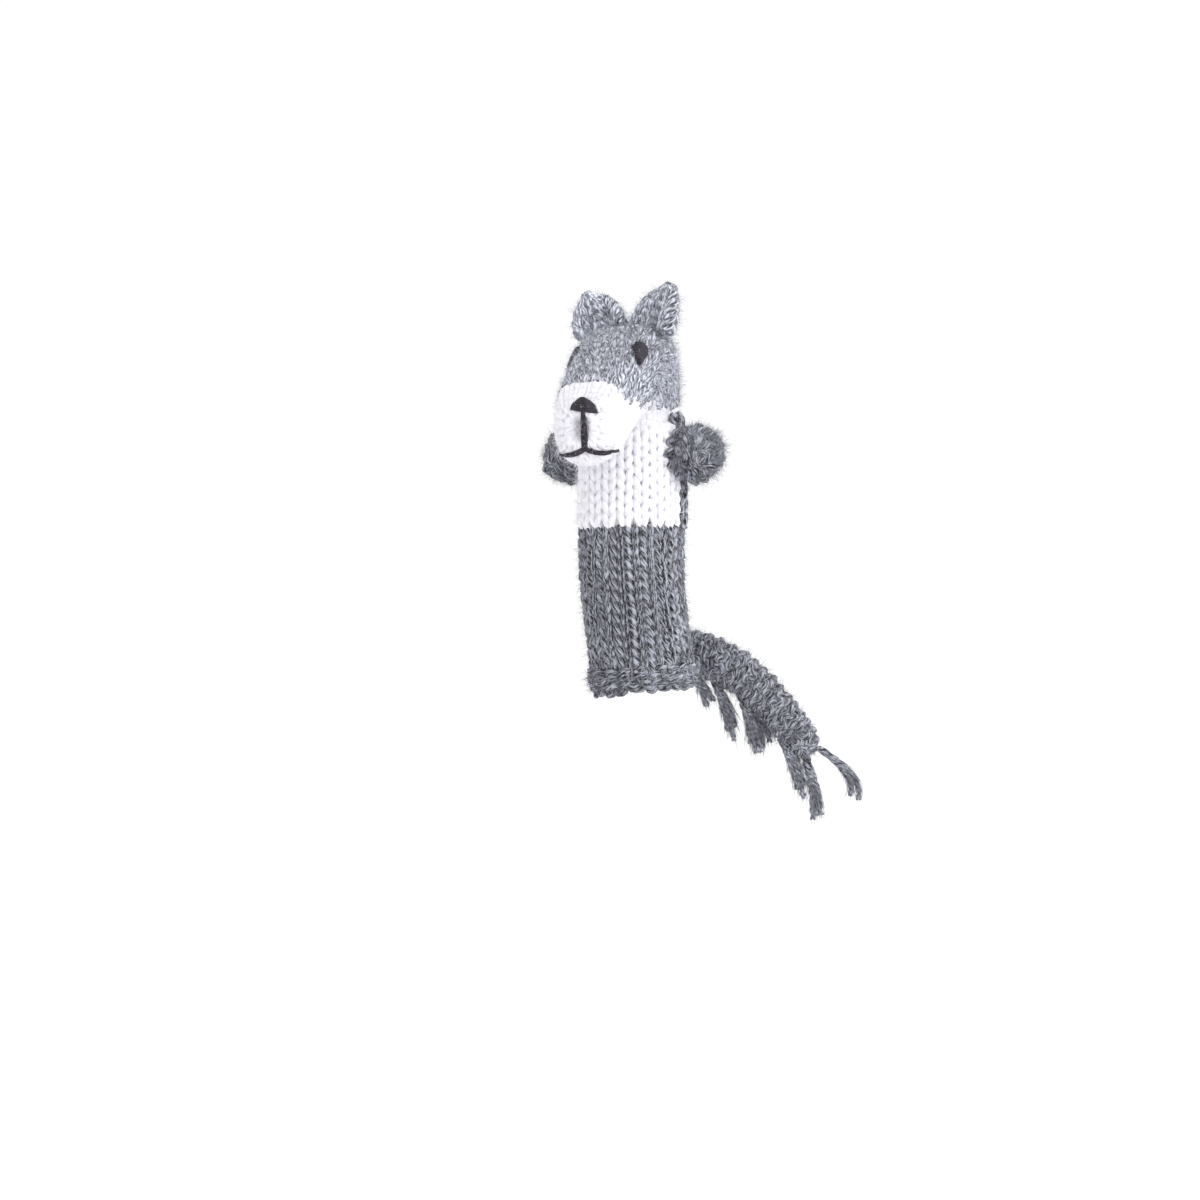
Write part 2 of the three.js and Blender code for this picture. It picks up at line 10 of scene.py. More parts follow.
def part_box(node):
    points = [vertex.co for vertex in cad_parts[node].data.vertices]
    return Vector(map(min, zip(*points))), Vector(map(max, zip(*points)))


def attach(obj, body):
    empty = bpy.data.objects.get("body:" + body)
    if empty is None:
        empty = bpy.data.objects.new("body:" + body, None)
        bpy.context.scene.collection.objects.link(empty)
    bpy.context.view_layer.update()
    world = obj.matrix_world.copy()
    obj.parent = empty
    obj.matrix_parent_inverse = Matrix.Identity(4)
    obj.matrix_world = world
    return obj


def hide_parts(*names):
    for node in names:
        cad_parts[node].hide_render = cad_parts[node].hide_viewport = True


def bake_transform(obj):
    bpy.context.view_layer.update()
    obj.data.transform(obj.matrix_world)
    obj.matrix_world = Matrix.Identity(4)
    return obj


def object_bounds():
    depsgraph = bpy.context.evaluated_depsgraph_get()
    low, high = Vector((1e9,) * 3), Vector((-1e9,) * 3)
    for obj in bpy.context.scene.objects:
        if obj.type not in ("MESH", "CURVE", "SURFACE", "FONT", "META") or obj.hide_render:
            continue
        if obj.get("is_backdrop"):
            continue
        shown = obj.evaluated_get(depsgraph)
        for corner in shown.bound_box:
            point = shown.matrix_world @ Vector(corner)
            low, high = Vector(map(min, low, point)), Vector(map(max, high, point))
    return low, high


bl_info = {
    "name": "Knitted Wolf Finger Puppet",
    "version": (1, 0, 0),
    "blender": (4, 5, 0),
    "location": "View3D > Sidebar > Puppet",
    "description": "Knits a wolf finger puppet stitch by stitch around its CAD frame",
    "category": "Object",
}

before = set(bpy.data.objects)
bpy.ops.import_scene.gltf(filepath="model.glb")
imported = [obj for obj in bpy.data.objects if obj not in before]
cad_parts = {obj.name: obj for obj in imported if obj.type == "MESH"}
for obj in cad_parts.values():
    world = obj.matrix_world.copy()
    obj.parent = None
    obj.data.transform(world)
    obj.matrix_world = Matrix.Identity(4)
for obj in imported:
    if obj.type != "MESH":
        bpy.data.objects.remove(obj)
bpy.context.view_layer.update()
noise.seed_set(7)  # noise_vector shifts its pattern by the clock without this

MM = 0.001
TURN = 2 * math.pi
UP = Vector((0, 0, 1))
SIDES = (("left", 1), ("right", -1))
SAMPLES = 14  # points along one stitch
YARN_SIDES = 6


def box(node):
    """The low and high corners of a CAD node."""
    low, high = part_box(node)
    return Vector(low), Vector(high)


def srgb(colour):
    """The three sRGB numbers of a hex colour."""
    return tuple(int(colour[i:i + 2], 16) / 255 for i in (1, 3, 5))


def linear(values):
    """Three sRGB numbers turned into a linear colour."""
    return tuple(c / 12.92 if c <= 0.04045 else ((c + 0.055) / 1.055) ** 2.4
                 for c in values) + (1.0,)


# ---- sizes ------------------------------------------------------------------------------


class PuppetYarn(bpy.types.PropertyGroup):
    """Yarn and gauge shared by every knitted piece."""

    thickness: FloatProperty(
        name="Yarn thickness", description="Diameter of the knitting yarn",
        default=1.9 * MM, unit="LENGTH")
    loop_reach: FloatProperty(
        name="Loop reach", description="Half the height of a loop, in rows", default=0.92)
    loop_swing: FloatProperty(
        name="Loop swing", description="How far a loop's legs swing sideways, in columns",
        default=0.22)
    relief: FloatProperty(
        name="Relief", description="Half the depth of a loop, front to back",
        default=0.85 * MM, unit="LENGTH")
    wander: FloatProperty(
        name="Wander", description="How unevenly the yarn lies", default=0.30 * MM, unit="LENGTH")
    fibre_length: FloatProperty(
        name="Fibre length", description="Length of the loose fibres that stand off the yarn",
        default=2.7 * MM, unit="LENGTH")
    fibre_density: FloatProperty(
        name="Fibre density", description="Loose fibres on a square metre of cloth",
        default=5.8e6)
    fibre_thickness: FloatProperty(
        name="Fibre thickness", description="Thickness of a loose fibre at its root",
        default=0.085 * MM, unit="LENGTH")
    seed: IntProperty(name="Seed", description="Seed of everything random", default=7)


class PuppetGauge(bpy.types.PropertyGroup):
    """How many stitches and rows each knitted piece has."""

    body_columns: IntProperty(
        name="Body columns", description="Stitches round the tube", default=20)
    row_height: FloatProperty(
        name="Row height", description="Height of a knitted row", default=2.7 * MM, unit="LENGTH")
    head_columns: IntProperty(
        name="Head columns", description="Stitches round the head", default=22)
    head_rows: IntProperty(name="Head rows", description="Rows from neck to nose", default=23)
    ear_columns: IntProperty(name="Ear columns", description="Stitches round an ear", default=9)
    ear_rows: IntProperty(name="Ear rows", description="Rows of an ear", default=5)
    arm_columns: IntProperty(name="Paw columns", description="Stitches round a paw", default=9)
    arm_rows: IntProperty(name="Paw rows", description="Rows of a paw", default=4)
    tail_columns: IntProperty(
        name="Tail columns", description="Stitches round the tail", default=8)


class PuppetColours(bpy.types.PropertyGroup):
    """Yarn colours, as sRGB values."""

    charcoal_dark: FloatVectorProperty(
        name="Charcoal, dark fibre", description="Darkest fibre of the charcoal yarn",
        default=srgb("#1b1a20"), subtype="COLOR_GAMMA", size=3)
    charcoal_light: FloatVectorProperty(
        name="Charcoal, light fibre", description="Lightest fibre of the charcoal yarn",
        default=srgb("#a3a5b0"), subtype="COLOR_GAMMA", size=3)
    silver_dark: FloatVectorProperty(
        name="Silver, dark fibre", description="Darkest fibre of the silver yarn",
        default=srgb("#46474f"), subtype="COLOR_GAMMA", size=3)
    silver_light: FloatVectorProperty(
        name="Silver, light fibre", description="Lightest fibre of the silver yarn",
        default=srgb("#d0d3de"), subtype="COLOR_GAMMA", size=3)
    white: FloatVectorProperty(
        name="White", description="White yarn", default=srgb("#ecebf1"),
        subtype="COLOR_GAMMA", size=3)
    thread: FloatVectorProperty(
        name="Thread", description="Embroidery wool", default=srgb("#161418"),
        subtype="COLOR_GAMMA", size=3)


# ---- materials --------------------------------------------------------------------------


def add(tree, kind, inputs=None, **settings):
    """One node with its settings and its inputs: a value, or another node's output."""
    node = tree.nodes.new(kind)
    for key, value in settings.items():
        setattr(node, key, value)
    for key, value in (inputs or {}).items():
        socket = node.inputs[key]
        if isinstance(value, bpy.types.NodeSocket):
            tree.links.new(value, socket)
        else:
            socket.default_value = value
    return node


def set_ramp(ramp, stops):
    """Places a colour ramp's stops."""
    elements = ramp.color_ramp.elements
    while len(elements) < len(stops):
        elements.new(0.5)
    for element, (place, colour) in zip(elements, stops):
        element.position = place
        element.color = colour


def matt_material(name, roughness, sheen=0.0, specular=0.5):
    """A new matt material, with its shader."""
    material = bpy.data.materials.new(name)
    material.use_nodes = True
    shader = material.node_tree.nodes["Principled BSDF"]
    shader.inputs["Roughness"].default_value = roughness
    shader.inputs["Sheen Weight"].default_value = sheen
    shader.inputs["Specular IOR Level"].default_value = specular
    return material, shader


def between(dark, light, share):
    """A colour that share of the way from dark to light."""
    return tuple(a * (1 - share) + b * share for a, b in zip(dark, light))


def yarn_material(name, dark, light, diameter, marl=1.0, sheen=0.08):
    """Two-ply wool: fibres of two shades carded together and twisted. The flecks are about
    0.4 mm across and 1.5 mm long and follow the twist; the surface is matt and downy. Marl
    is how far the mix drifts lighter and darker over about 6 mm."""
    ply_pitch, ply_depth = 13.0 * MM, 0.16 * MM
    flecks_round, flecks_along = 2.3, 0.75 / MM
    drift_size = 6.25 * MM
    material, shader = matt_material(name, 0.92, sheen, 0.22)
    shader.inputs["Sheen Roughness"].default_value = 0.55
    tree = material.node_tree
    length = add(tree, "ShaderNodeAttribute", attribute_name="yarn_length")
    side = add(tree, "ShaderNodeAttribute", attribute_name="fibre_side")
    unit = add(tree, "ShaderNodeVectorMath", {0: side.outputs["Vector"], "Scale": 2 / diameter},
               operation="SCALE")
    turn = add(tree, "ShaderNodeMath", {0: length.outputs["Fac"], 1: TURN / ply_pitch},
               operation="MULTIPLY")
    twisted = add(tree, "ShaderNodeVectorRotate",
                  {"Vector": unit.outputs[0], "Angle": turn.outputs[0]}, rotation_type="Z_AXIS")
    across = add(tree, "ShaderNodeVectorMath", {0: twisted.outputs[0], "Scale": flecks_round},
                 operation="SCALE")
    along = add(tree, "ShaderNodeMath", {0: length.outputs["Fac"], 1: flecks_along},
                operation="MULTIPLY")
    offset = add(tree, "ShaderNodeCombineXYZ", {"Z": along.outputs[0]})
    fibre_space = add(tree, "ShaderNodeVectorMath", {0: across.outputs[0], 1: offset.outputs[0]})
    flecks = add(tree, "ShaderNodeTexNoise", {
        "Vector": fibre_space.outputs[0], "Scale": 1.0, "Detail": 3.0, "Roughness": 0.62})
    shades = add(tree, "ShaderNodeValToRGB", {"Fac": flecks.outputs[0]})
    set_ramp(shades, [(0.41, dark), (0.49, between(dark, light, 0.32)), (0.59, light)])
    place = add(tree, "ShaderNodeTexCoord")
    drift = add(tree, "ShaderNodeTexNoise", {
        "Vector": place.outputs["Object"], "Scale": 1 / drift_size, "Detail": 1.0})
    drifted = add(tree, "ShaderNodeMapRange", {
        "Value": drift.outputs[0], "From Min": 0.3, "From Max": 0.7,
        "To Min": 1 - 0.22 * marl, "To Max": 1 + 0.16 * marl})
    colour = add(tree, "ShaderNodeVectorMath", {
        0: shades.outputs[0], "Scale": drifted.outputs[0]}, operation="SCALE")
    split = add(tree, "ShaderNodeSeparateXYZ", {"Vector": twisted.outputs[0]})
    ply = add(tree, "ShaderNodeMath", {0: split.outputs[0]}, operation="ABSOLUTE")
    relief = add(tree, "ShaderNodeMath", {0: flecks.outputs[0], 1: 0.8, 2: ply.outputs[0]},
                 operation="MULTIPLY_ADD")
    bump = add(tree, "ShaderNodeBump", {
        "Height": relief.outputs[0], "Strength": 0.9, "Distance": ply_depth})
    tree.links.new(colour.outputs[0], shader.inputs["Base Color"])
    tree.links.new(bump.outputs[0], shader.inputs["Normal"])
    return material


def down_material(name, dark, light):
    """Loose fibres and the cloth's inner face: the yarn's two shades seen as fine flecks,
    drawn 0.9 mm apart so that they show."""
    fleck_size, fleck_depth = 0.9 * MM, 0.2 * MM
    material, shader = matt_material(name, 0.95, 0.1, 0.2)
    tree = material.node_tree
    place = add(tree, "ShaderNodeTexCoord")
    fleck = add(tree, "ShaderNodeTexNoise", {
        "Vector": place.outputs["Object"], "Scale": 1 / fleck_size, "Detail": 2.0})
    shades = add(tree, "ShaderNodeValToRGB", {"Fac": fleck.outputs[0]})
    set_ramp(shades, [(0.38, dark), (0.62, light)])
    bump = add(tree, "ShaderNodeBump", {
        "Height": fleck.outputs[0], "Strength": 0.5, "Distance": fleck_depth})
    tree.links.new(shades.outputs[0], shader.inputs["Base Color"])
    tree.links.new(bump.outputs[0], shader.inputs["Normal"])
    return material


def finish_for(name):
    """The finish of that name, made the first time it is asked for."""
    if name in bpy.data.materials:
        return bpy.data.materials[name]
    colours = bpy.context.scene.puppet_colours
    thickness = bpy.context.scene.puppet_yarn.thickness

    def shades(dark, light, dark_by=1.0, light_by=1.0):
        return linear([c * dark_by for c in dark]), linear([c * light_by for c in light])
    charcoal = shades(colours.charcoal_dark, colours.charcoal_light)
    silver = shades(colours.silver_dark, colours.silver_light)
    # painted light: a lighter copy of the silver shades, for the ears
    pale = shades(colours.silver_dark, colours.silver_light, dark_by=1.2, light_by=1.08)
    white = shades(colours.white, colours.white, dark_by=0.93)
    # painted highlight: the thread's light fibre is 2.9 times its colour, so each thread shows
    thread = shades(colours.thread, colours.thread, light_by=2.9)
    wadding = linear(srgb("#d8d6d0")), linear(srgb("#f4f2ec"))
    bundle = 0.35  # a loose fibre is lit all round, so its dark is nearer its light
    recipes = {
        # two-ply wool carded from near black and grey: a salt and pepper fleck
        "marled_wool_charcoal": (yarn_material, charcoal, {"diameter": thickness}),
        # the same wool carded from mid grey and white
        "marled_wool_silver": (yarn_material, silver, {"diameter": thickness}),
        # the silver wool made lighter for the ears: painted light, as their sides fall in shade
        "marled_wool_pale": (yarn_material, pale, {"diameter": thickness}),
        # dyed in one colour, so it has hardly any fleck
        "acrylic_yarn_white": (yarn_material, white, {"diameter": thickness, "marl": 0.06}),
        # thin crewel wool, black with a faint fleck; its light fibre, 2.9 times as light, is
        # painted highlight that picks out each thread
        "embroidery_wool_black": (yarn_material, thread, {
            "diameter": thickness * 0.5, "marl": 0.4, "sheen": 0.12}),
        # loose fibres that stand off the yarns above
        "wool_down_charcoal": (down_material, (between(*charcoal, bundle), charcoal[1]), {}),
        "wool_down_silver": (down_material, (between(*silver, bundle), silver[1]), {}),
        "acrylic_down_white": (down_material, white, {}),
        # the cloth's inner face, seen dark between the stitches
        "wool_back_charcoal": (down_material, charcoal, {}),
        "wool_back_silver": (down_material, silver, {}),
        "acrylic_back_white": (down_material, white, {}),
        # teased polyester fill, off-white and clumped
        "polyester_wadding": (down_material, wadding, {}),
    }
    make, (dark, light), settings = recipes[name]
    return make(name, dark, light, **settings)


# ---- geometry node trees ----------------------------------------------------------------


def new_tree(name, sockets):
    """An empty tree that takes and gives geometry, with its input and output nodes."""
    tree = bpy.data.node_groups.new(name, "GeometryNodeTree")
    tree.interface.new_socket("Geometry", in_out="INPUT", socket_type="NodeSocketGeometry")
    for label, kind in sockets:
        tree.interface.new_socket(label, in_out="INPUT", socket_type="NodeSocket" + kind)
    tree.interface.new_socket("Geometry", in_out="OUTPUT", socket_type="NodeSocketGeometry")
    return tree, tree.nodes.new("NodeGroupInput"), tree.nodes.new("NodeGroupOutput")


def end_tree(tree, source, result, mesh):
    """Smooth faces, then the tree's end: real geometry, and its finish."""
    smooth = add(tree, "GeometryNodeSetShadeSmooth", {"Geometry": mesh})
    real = add(tree, "GeometryNodeRealizeInstances", {"Geometry": smooth.outputs[0]})
    painted = add(tree, "GeometryNodeSetMaterial", {
        "Geometry": real.outputs[0], "Material": source.outputs["Material"]})
    tree.links.new(painted.outputs[0], result.inputs[0])
    return tree


def yarn_tree():
    """Sweeps a round yarn along curves, and notes its length and its sides for the finish."""
    if "Yarn" in bpy.data.node_groups:
        return bpy.data.node_groups["Yarn"]
    tree, source, result = new_tree("Yarn", [
        ("Thickness", "Float"), ("Sides", "Int"), ("Material", "Material")])
    reach = add(tree, "GeometryNodeSplineParameter")
    measured = add(tree, "GeometryNodeStoreNamedAttribute", {
        "Geometry": source.outputs["Geometry"], "Name": "yarn_length",
        "Value": reach.outputs["Length"]}, data_type="FLOAT", domain="POINT")
    half = add(tree, "ShaderNodeMath", {0: source.outputs["Thickness"], 1: 0.5},
               operation="MULTIPLY")
    ring = add(tree, "GeometryNodeCurvePrimitiveCircle", {
        "Resolution": source.outputs["Sides"], "Radius": half.outputs[0]})
    spot = add(tree, "GeometryNodeInputPosition")
    sided = add(tree, "GeometryNodeStoreNamedAttribute", {
        "Geometry": ring.outputs["Curve"], "Name": "fibre_side", "Value": spot.outputs[0]},
        data_type="FLOAT_VECTOR", domain="POINT")
    girth = add(tree, "GeometryNodeInputRadius")
    swept = add(tree, "GeometryNodeCurveToMesh", {
        "Curve": measured.outputs[0], "Profile Curve": sided.outputs[0],
        "Scale": girth.outputs[0], "Fill Caps": True})
    return end_tree(tree, source, result, swept.outputs[0])


def down_tree():
    """Scatters short bent fibres over a surface, most of them lying nearly flat."""
    if "Down" in bpy.data.node_groups:
        return bpy.data.node_groups["Down"]
    tree, source, result = new_tree("Down", [
        ("Density", "Float"), ("Length", "Float"), ("Thickness", "Float"), ("Seed", "Int"),
        ("Material", "Material")])
    points = add(tree, "GeometryNodeDistributePointsOnFaces", {
        "Mesh": source.outputs["Geometry"], "Density": source.outputs["Density"],
        "Seed": source.outputs["Seed"]})
    bend = add(tree, "GeometryNodeCurveQuadraticBezier", {
        "Resolution": 2, "Start": (0, 0, -0.12), "Middle": (0, 0, 0.5), "End": (0.45, 0, 0.8)})
    sized = add(tree, "GeometryNodeTransform", {
        "Geometry": bend.outputs[0], "Scale": source.outputs["Length"]})
    share = add(tree, "GeometryNodeSplineParameter")
    taper = add(tree, "ShaderNodeMath", {0: share.outputs["Factor"], 1: -0.8, 2: 1.0},
                operation="MULTIPLY_ADD")
    half = add(tree, "ShaderNodeMath", {0: source.outputs["Thickness"], 1: 0.5},
               operation="MULTIPLY")
    ring = add(tree, "GeometryNodeCurvePrimitiveCircle", {
        "Resolution": 3, "Radius": half.outputs[0]})
    fibre = add(tree, "GeometryNodeCurveToMesh", {
        "Curve": sized.outputs[0], "Profile Curve": ring.outputs["Curve"],
        "Scale": taper.outputs[0], "Fill Caps": True})
    most = 1.35  # radians off upright
    tilt = add(tree, "FunctionNodeRandomValue", {
        "Min": (-most, -most, 0.0), "Max": (most, most, TURN),
        "Seed": source.outputs["Seed"]}, data_type="FLOAT_VECTOR")
    tilting = add(tree, "FunctionNodeEulerToRotation", {0: tilt.outputs[0]})
    lying = add(tree, "FunctionNodeRotateRotation", {
        0: points.outputs["Rotation"], 1: tilting.outputs[0]}, rotation_space="LOCAL")
    # most fibres are half the full length, and a few reach well past it
    chance = add(tree, "FunctionNodeRandomValue", {2: 0.0, 3: 1.0}, data_type="FLOAT")
    rare = add(tree, "ShaderNodeMath", {0: chance.outputs[1], 1: 3.5}, operation="POWER")
    size = add(tree, "ShaderNodeMath", {0: rare.outputs[0], 1: 0.85, 2: 0.5},
               operation="MULTIPLY_ADD")
    fibres = add(tree, "GeometryNodeInstanceOnPoints", {
        "Points": points.outputs["Points"], "Instance": fibre.outputs[0],
        "Rotation": lying.outputs[0], "Scale": size.outputs[0]})
    return end_tree(tree, source, result, fibres.outputs[0])


def linked(name, data):
    """A new object in the scene."""
    thing = bpy.data.objects.new(name, data)
    bpy.context.scene.collection.objects.link(thing)
    return thing


def bake_tree(holder, tree, values, name):
    """Runs a tree on an object and keeps the result as a plain mesh of that name."""
    modifier = holder.modifiers.new("Make", "NODES")
    modifier.node_group = tree
    for item in tree.interface.items_tree:
        if item.in_out == "INPUT" and item.name in values:
            modifier[item.identifier] = values[item.name]
    depsgraph = bpy.context.evaluated_depsgraph_get()
    depsgraph.update()
    mesh = bpy.data.meshes.new_from_object(
        holder.evaluated_get(depsgraph), preserve_all_data_layers=True, depsgraph=depsgraph)
    mesh.name = name
    bpy.data.objects.remove(holder)
    return linked(name, mesh)


def yarn(name, paths, finish, thickness=None, closed=True, girth=None, sides=YARN_SIDES):
    """One piece of yarn work: a list of paths, each a list of points, swept round."""
    settings = bpy.context.scene.puppet_yarn
    curve = bpy.data.curves.new(name, "CURVE")
    curve.dimensions = "3D"
    for path in paths:
        spline = curve.splines.new("POLY")
        spline.points.add(len(path) - 1)
        spline.points.foreach_set("co", [c for p in path for c in (*p, 1.0)])
        spline.use_cyclic_u = closed
        if girth:
            last = len(path) - 1
            spline.points.foreach_set("radius", [girth(i / last) for i in range(len(path))])
    return bake_tree(linked(name, curve), yarn_tree(), {
        "Thickness": thickness or settings.thickness, "Sides": sides,
        "Material": finish_for(finish)}, name)


def mesh_object(name, vertices, faces):
    """A new object with a plain mesh."""
    mesh = bpy.data.meshes.new(name)
    mesh.from_pydata([tuple(v) for v in vertices], [], faces)
    mesh.update()
    return linked(name, mesh)


def grid_mesh(surface, around, along, start=0.0, end=1.0, depth=0.0, keep=None):
    """Vertices and faces of a surface laid out as a grid, open unless it goes right round."""
    closed = end - start > 0.999
    columns = around if closed else around + 1
    vertices = [laid(surface, start + (end - start) * j / around, i / along, depth)
                for i in range(along + 1) for j in range(columns)]
    faces = []
    for i in range(along):
        for j in range(around):
            k = (j + 1) % columns
            a, b = i * columns + j, i * columns + k
            if keep is None or keep((j + 0.5) / around, (i + 0.5) / along):
                faces.append((a, b, b + columns, a + columns))
    return vertices, faces


def down(name, surface, finish, around=40, along=24, density=1.0, length=1.0, seed=0,
         depth=0.4, **span):
    """Loose fibres over a knitted surface; density and length are shares of the usual."""
    settings = bpy.context.scene.puppet_yarn
    holder = mesh_object(name, *grid_mesh(surface, around, along, depth=depth * MM, **span))
    return bake_tree(holder, down_tree(), {
        "Density": settings.fibre_density * density, "Length": settings.fibre_length * length,
        "Thickness": settings.fibre_thickness, "Seed": settings.seed + seed,
        "Material": finish_for(finish)}, name)


def lining(name, surface, finish, around=40, along=24, depth=-1.0, wall=0.9, **span):
    """The closed inner layer behind the stitches, so no gap between them shows through."""
    outer, faces = grid_mesh(surface, around, along, depth=depth * MM, **span)
    inner, _ = grid_mesh(surface, around, along, depth=(depth - wall) * MM, **span)
    count = len(outer)
    edges = {edge for face in faces for edge in zip(face, face[1:] + face[:1])}
    walls = [(b, a, count + a, count + b) for a, b in edges if (b, a) not in edges]
    back = [tuple(count + i for i in reversed(face)) for face in faces]
    piece = mesh_object(name, outer + inner, faces + back + walls)
    used = bmesh.new()
    used.from_mesh(piece.data)
    bmesh.ops.delete(used, geom=[v for v in used.verts if not v.link_faces], context="VERTS")
    used.to_mesh(piece.data)
    used.free()
    piece.data.materials.append(finish_for(finish.replace("_down_", "_back_")))
    for polygon in piece.data.polygons:
        polygon.use_smooth = True
    return piece


def carry(pieces, slot, body):
    """Hangs pieces on the body that carries them; slot is not used."""
    for piece in pieces:
        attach(piece, body)


# ---- knitting ---------------------------------------------------------------------------


def round_tube(radius, angle, height):
    """A point round the finger's axis; the angle runs from the front towards the left."""
    return Vector((radius * math.sin(angle), -radius * math.cos(angle), height))


def trace(steps, place, *given):
    """A path's points: place puts each share of its length somewhere."""
    return [place(i / steps, *given) for i in range(steps + 1)]


def overcast(turns, place):
    """A closed path of stitches over a seam: place takes the angle along the seam and the
    angle round the stitch."""
    steps = turns * 12
    return [place(TURN * i / steps, TURN * turns * i / steps) for i in range(steps)]


def laid(surface, u, v, depth):
    """A point off a surface: u goes round it, v along it, depth out of it."""
    here = surface(u, v)
    if depth == 0.0:
        return here
    step = 1e-3
    round_it = surface(u + step, v) - surface(u - step, v)
    along_it = surface(u, v + step) - surface(u, v - step)
    return here + round_it.cross(along_it).normalized() * depth


def uneven(point, seed, amount):
    """The same small wander every run, from smooth noise."""
    scale = 1 / (5.0 * MM)
    return noise.noise_vector(point * scale + Vector((seed * 7.3, seed * 3.1, 0.0))) * amount


def knit_row(surface, row, rows, columns, first=0, last=None, purl=False, seed=0, loose=1.0):
    """One row of stitches on a surface, from one column to another or right round."""
    settings = bpy.context.scene.puppet_yarn
    last = columns if last is None else last
    path = []
    face = -1.0 if purl else 1.0
    count = round((last - first) * SAMPLES)
    whole = last - first >= columns
    for i in range(count if whole else count + 1):
        t = TURN * i / SAMPLES
        u = (first + t / TURN + settings.loop_swing * math.sin(2 * t)) / columns
        v = (row + 0.5 - settings.loop_reach * math.cos(t)) / rows
        point = laid(surface, u, v, -face * settings.relief * math.cos(2 * t))
        path.append(point + uneven(point, settings.seed + seed + row * 0.37,
                                   settings.wander * loose))
    return path


def knit(name, surface, rows, columns, finish, thickness=None, **stitches):
    """Rows of stitches over a surface, as one piece."""
    paths = [knit_row(surface, row, rows, columns, **stitches) for row in range(rows)]
    return yarn(name, paths, finish, closed="last" not in stitches, thickness=thickness)


# ---- the puppet's surfaces --------------------------------------------------------------

LOWER = box("lower_tube")
BODY_RADIUS = LOWER[1].x
HEM_TOP = box("hem_band")[1].z
COLOUR_CHANGE = box("chest_panel")[0].z
TUBE_TOP = box("crown_gather")[1].z
CROWN = box("head_shell")[1].z
HEAD_HALF = box("head_shell")[1].x
HEAD_BACK = box("head_shell")[1].y
MUZZLE_FRONT = box("muzzle_shell")[0].y
CHIN = box("muzzle_shell")[0].z
SHOULDER_DROP = 4.0 * MM
SHOULDER_INSET = 2.4 * MM
CLOTH_IN = 1.4 * MM  # the stitches' middle, in from the cloth's outer face
LEAN_WAY = Vector((0.883, 0.469, 0.0))  # the side the finger leans the hem towards


def lean(height, angle):
    """How far the knitting has slipped sideways and ridden up at a height: most of it at
    the hem, and only on the side it leans to."""
    slack = max(0.0, 1 - height / (34 * MM))
    ridden = 1 + math.sin(angle) * LEAN_WAY.x - math.cos(angle) * LEAN_WAY.y
    return LEAN_WAY * (2.9 * MM * slack ** 1.4) + Vector((0, 0, 1.0 * MM * ridden * slack ** 3))


def tube_surface(low, high):
    """The tube, u round from the front towards the left, v upwards. It slips to one side at
    its foot, and swells a little between."""
    radius = BODY_RADIUS - CLOTH_IN - 0.4 * MM

    def surface(u, v):
        angle = TURN * u
        height = low + (high - low) * v
        swell = radius + 0.35 * MM * math.sin(height / (8 * MM) + 2 * math.sin(angle))
        return lean(height, angle) + round_tube(swell, angle, height)
    return surface


def upper_surface():
    """The upper tube with its shoulder closing in, and its height along the cloth."""
    straight = TUBE_TOP - SHOULDER_DROP - COLOUR_CHANGE
    arc = 0.5 * math.pi * 0.5 * (SHOULDER_DROP + SHOULDER_INSET)
    total = straight + arc

    def surface(u, v):
        run = v * total
        if run <= straight:
            radius, height = BODY_RADIUS, COLOUR_CHANGE + run
        else:
            bend = min(1.15, (run - straight) / arc) * math.pi / 2
            radius = BODY_RADIUS - SHOULDER_INSET * (1 - math.cos(bend))
            height = TUBE_TOP - SHOULDER_DROP + SHOULDER_DROP * math.sin(bend)
        return round_tube(radius - CLOTH_IN, TURN * u, height)
    return surface, total


def smooth_line(points):
    """A Catmull-Rom curve through points, read by a share from 0 to 1."""
    def at(t):
        t = min(max(t, 0.0), 1.0) * (len(points) - 1)
        i = min(int(t), len(points) - 2)
        f = t - i
        a, b = points[max(i - 1, 0)], points[i]
        c, d = points[i + 1], points[min(i + 2, len(points) - 1)]
        return 0.5 * ((2 * b) + (c - a) * f + (2 * a - 5 * b + 4 * c - d) * f * f
                      + (3 * b - a - 3 * c + d) * f ** 3)
    return at


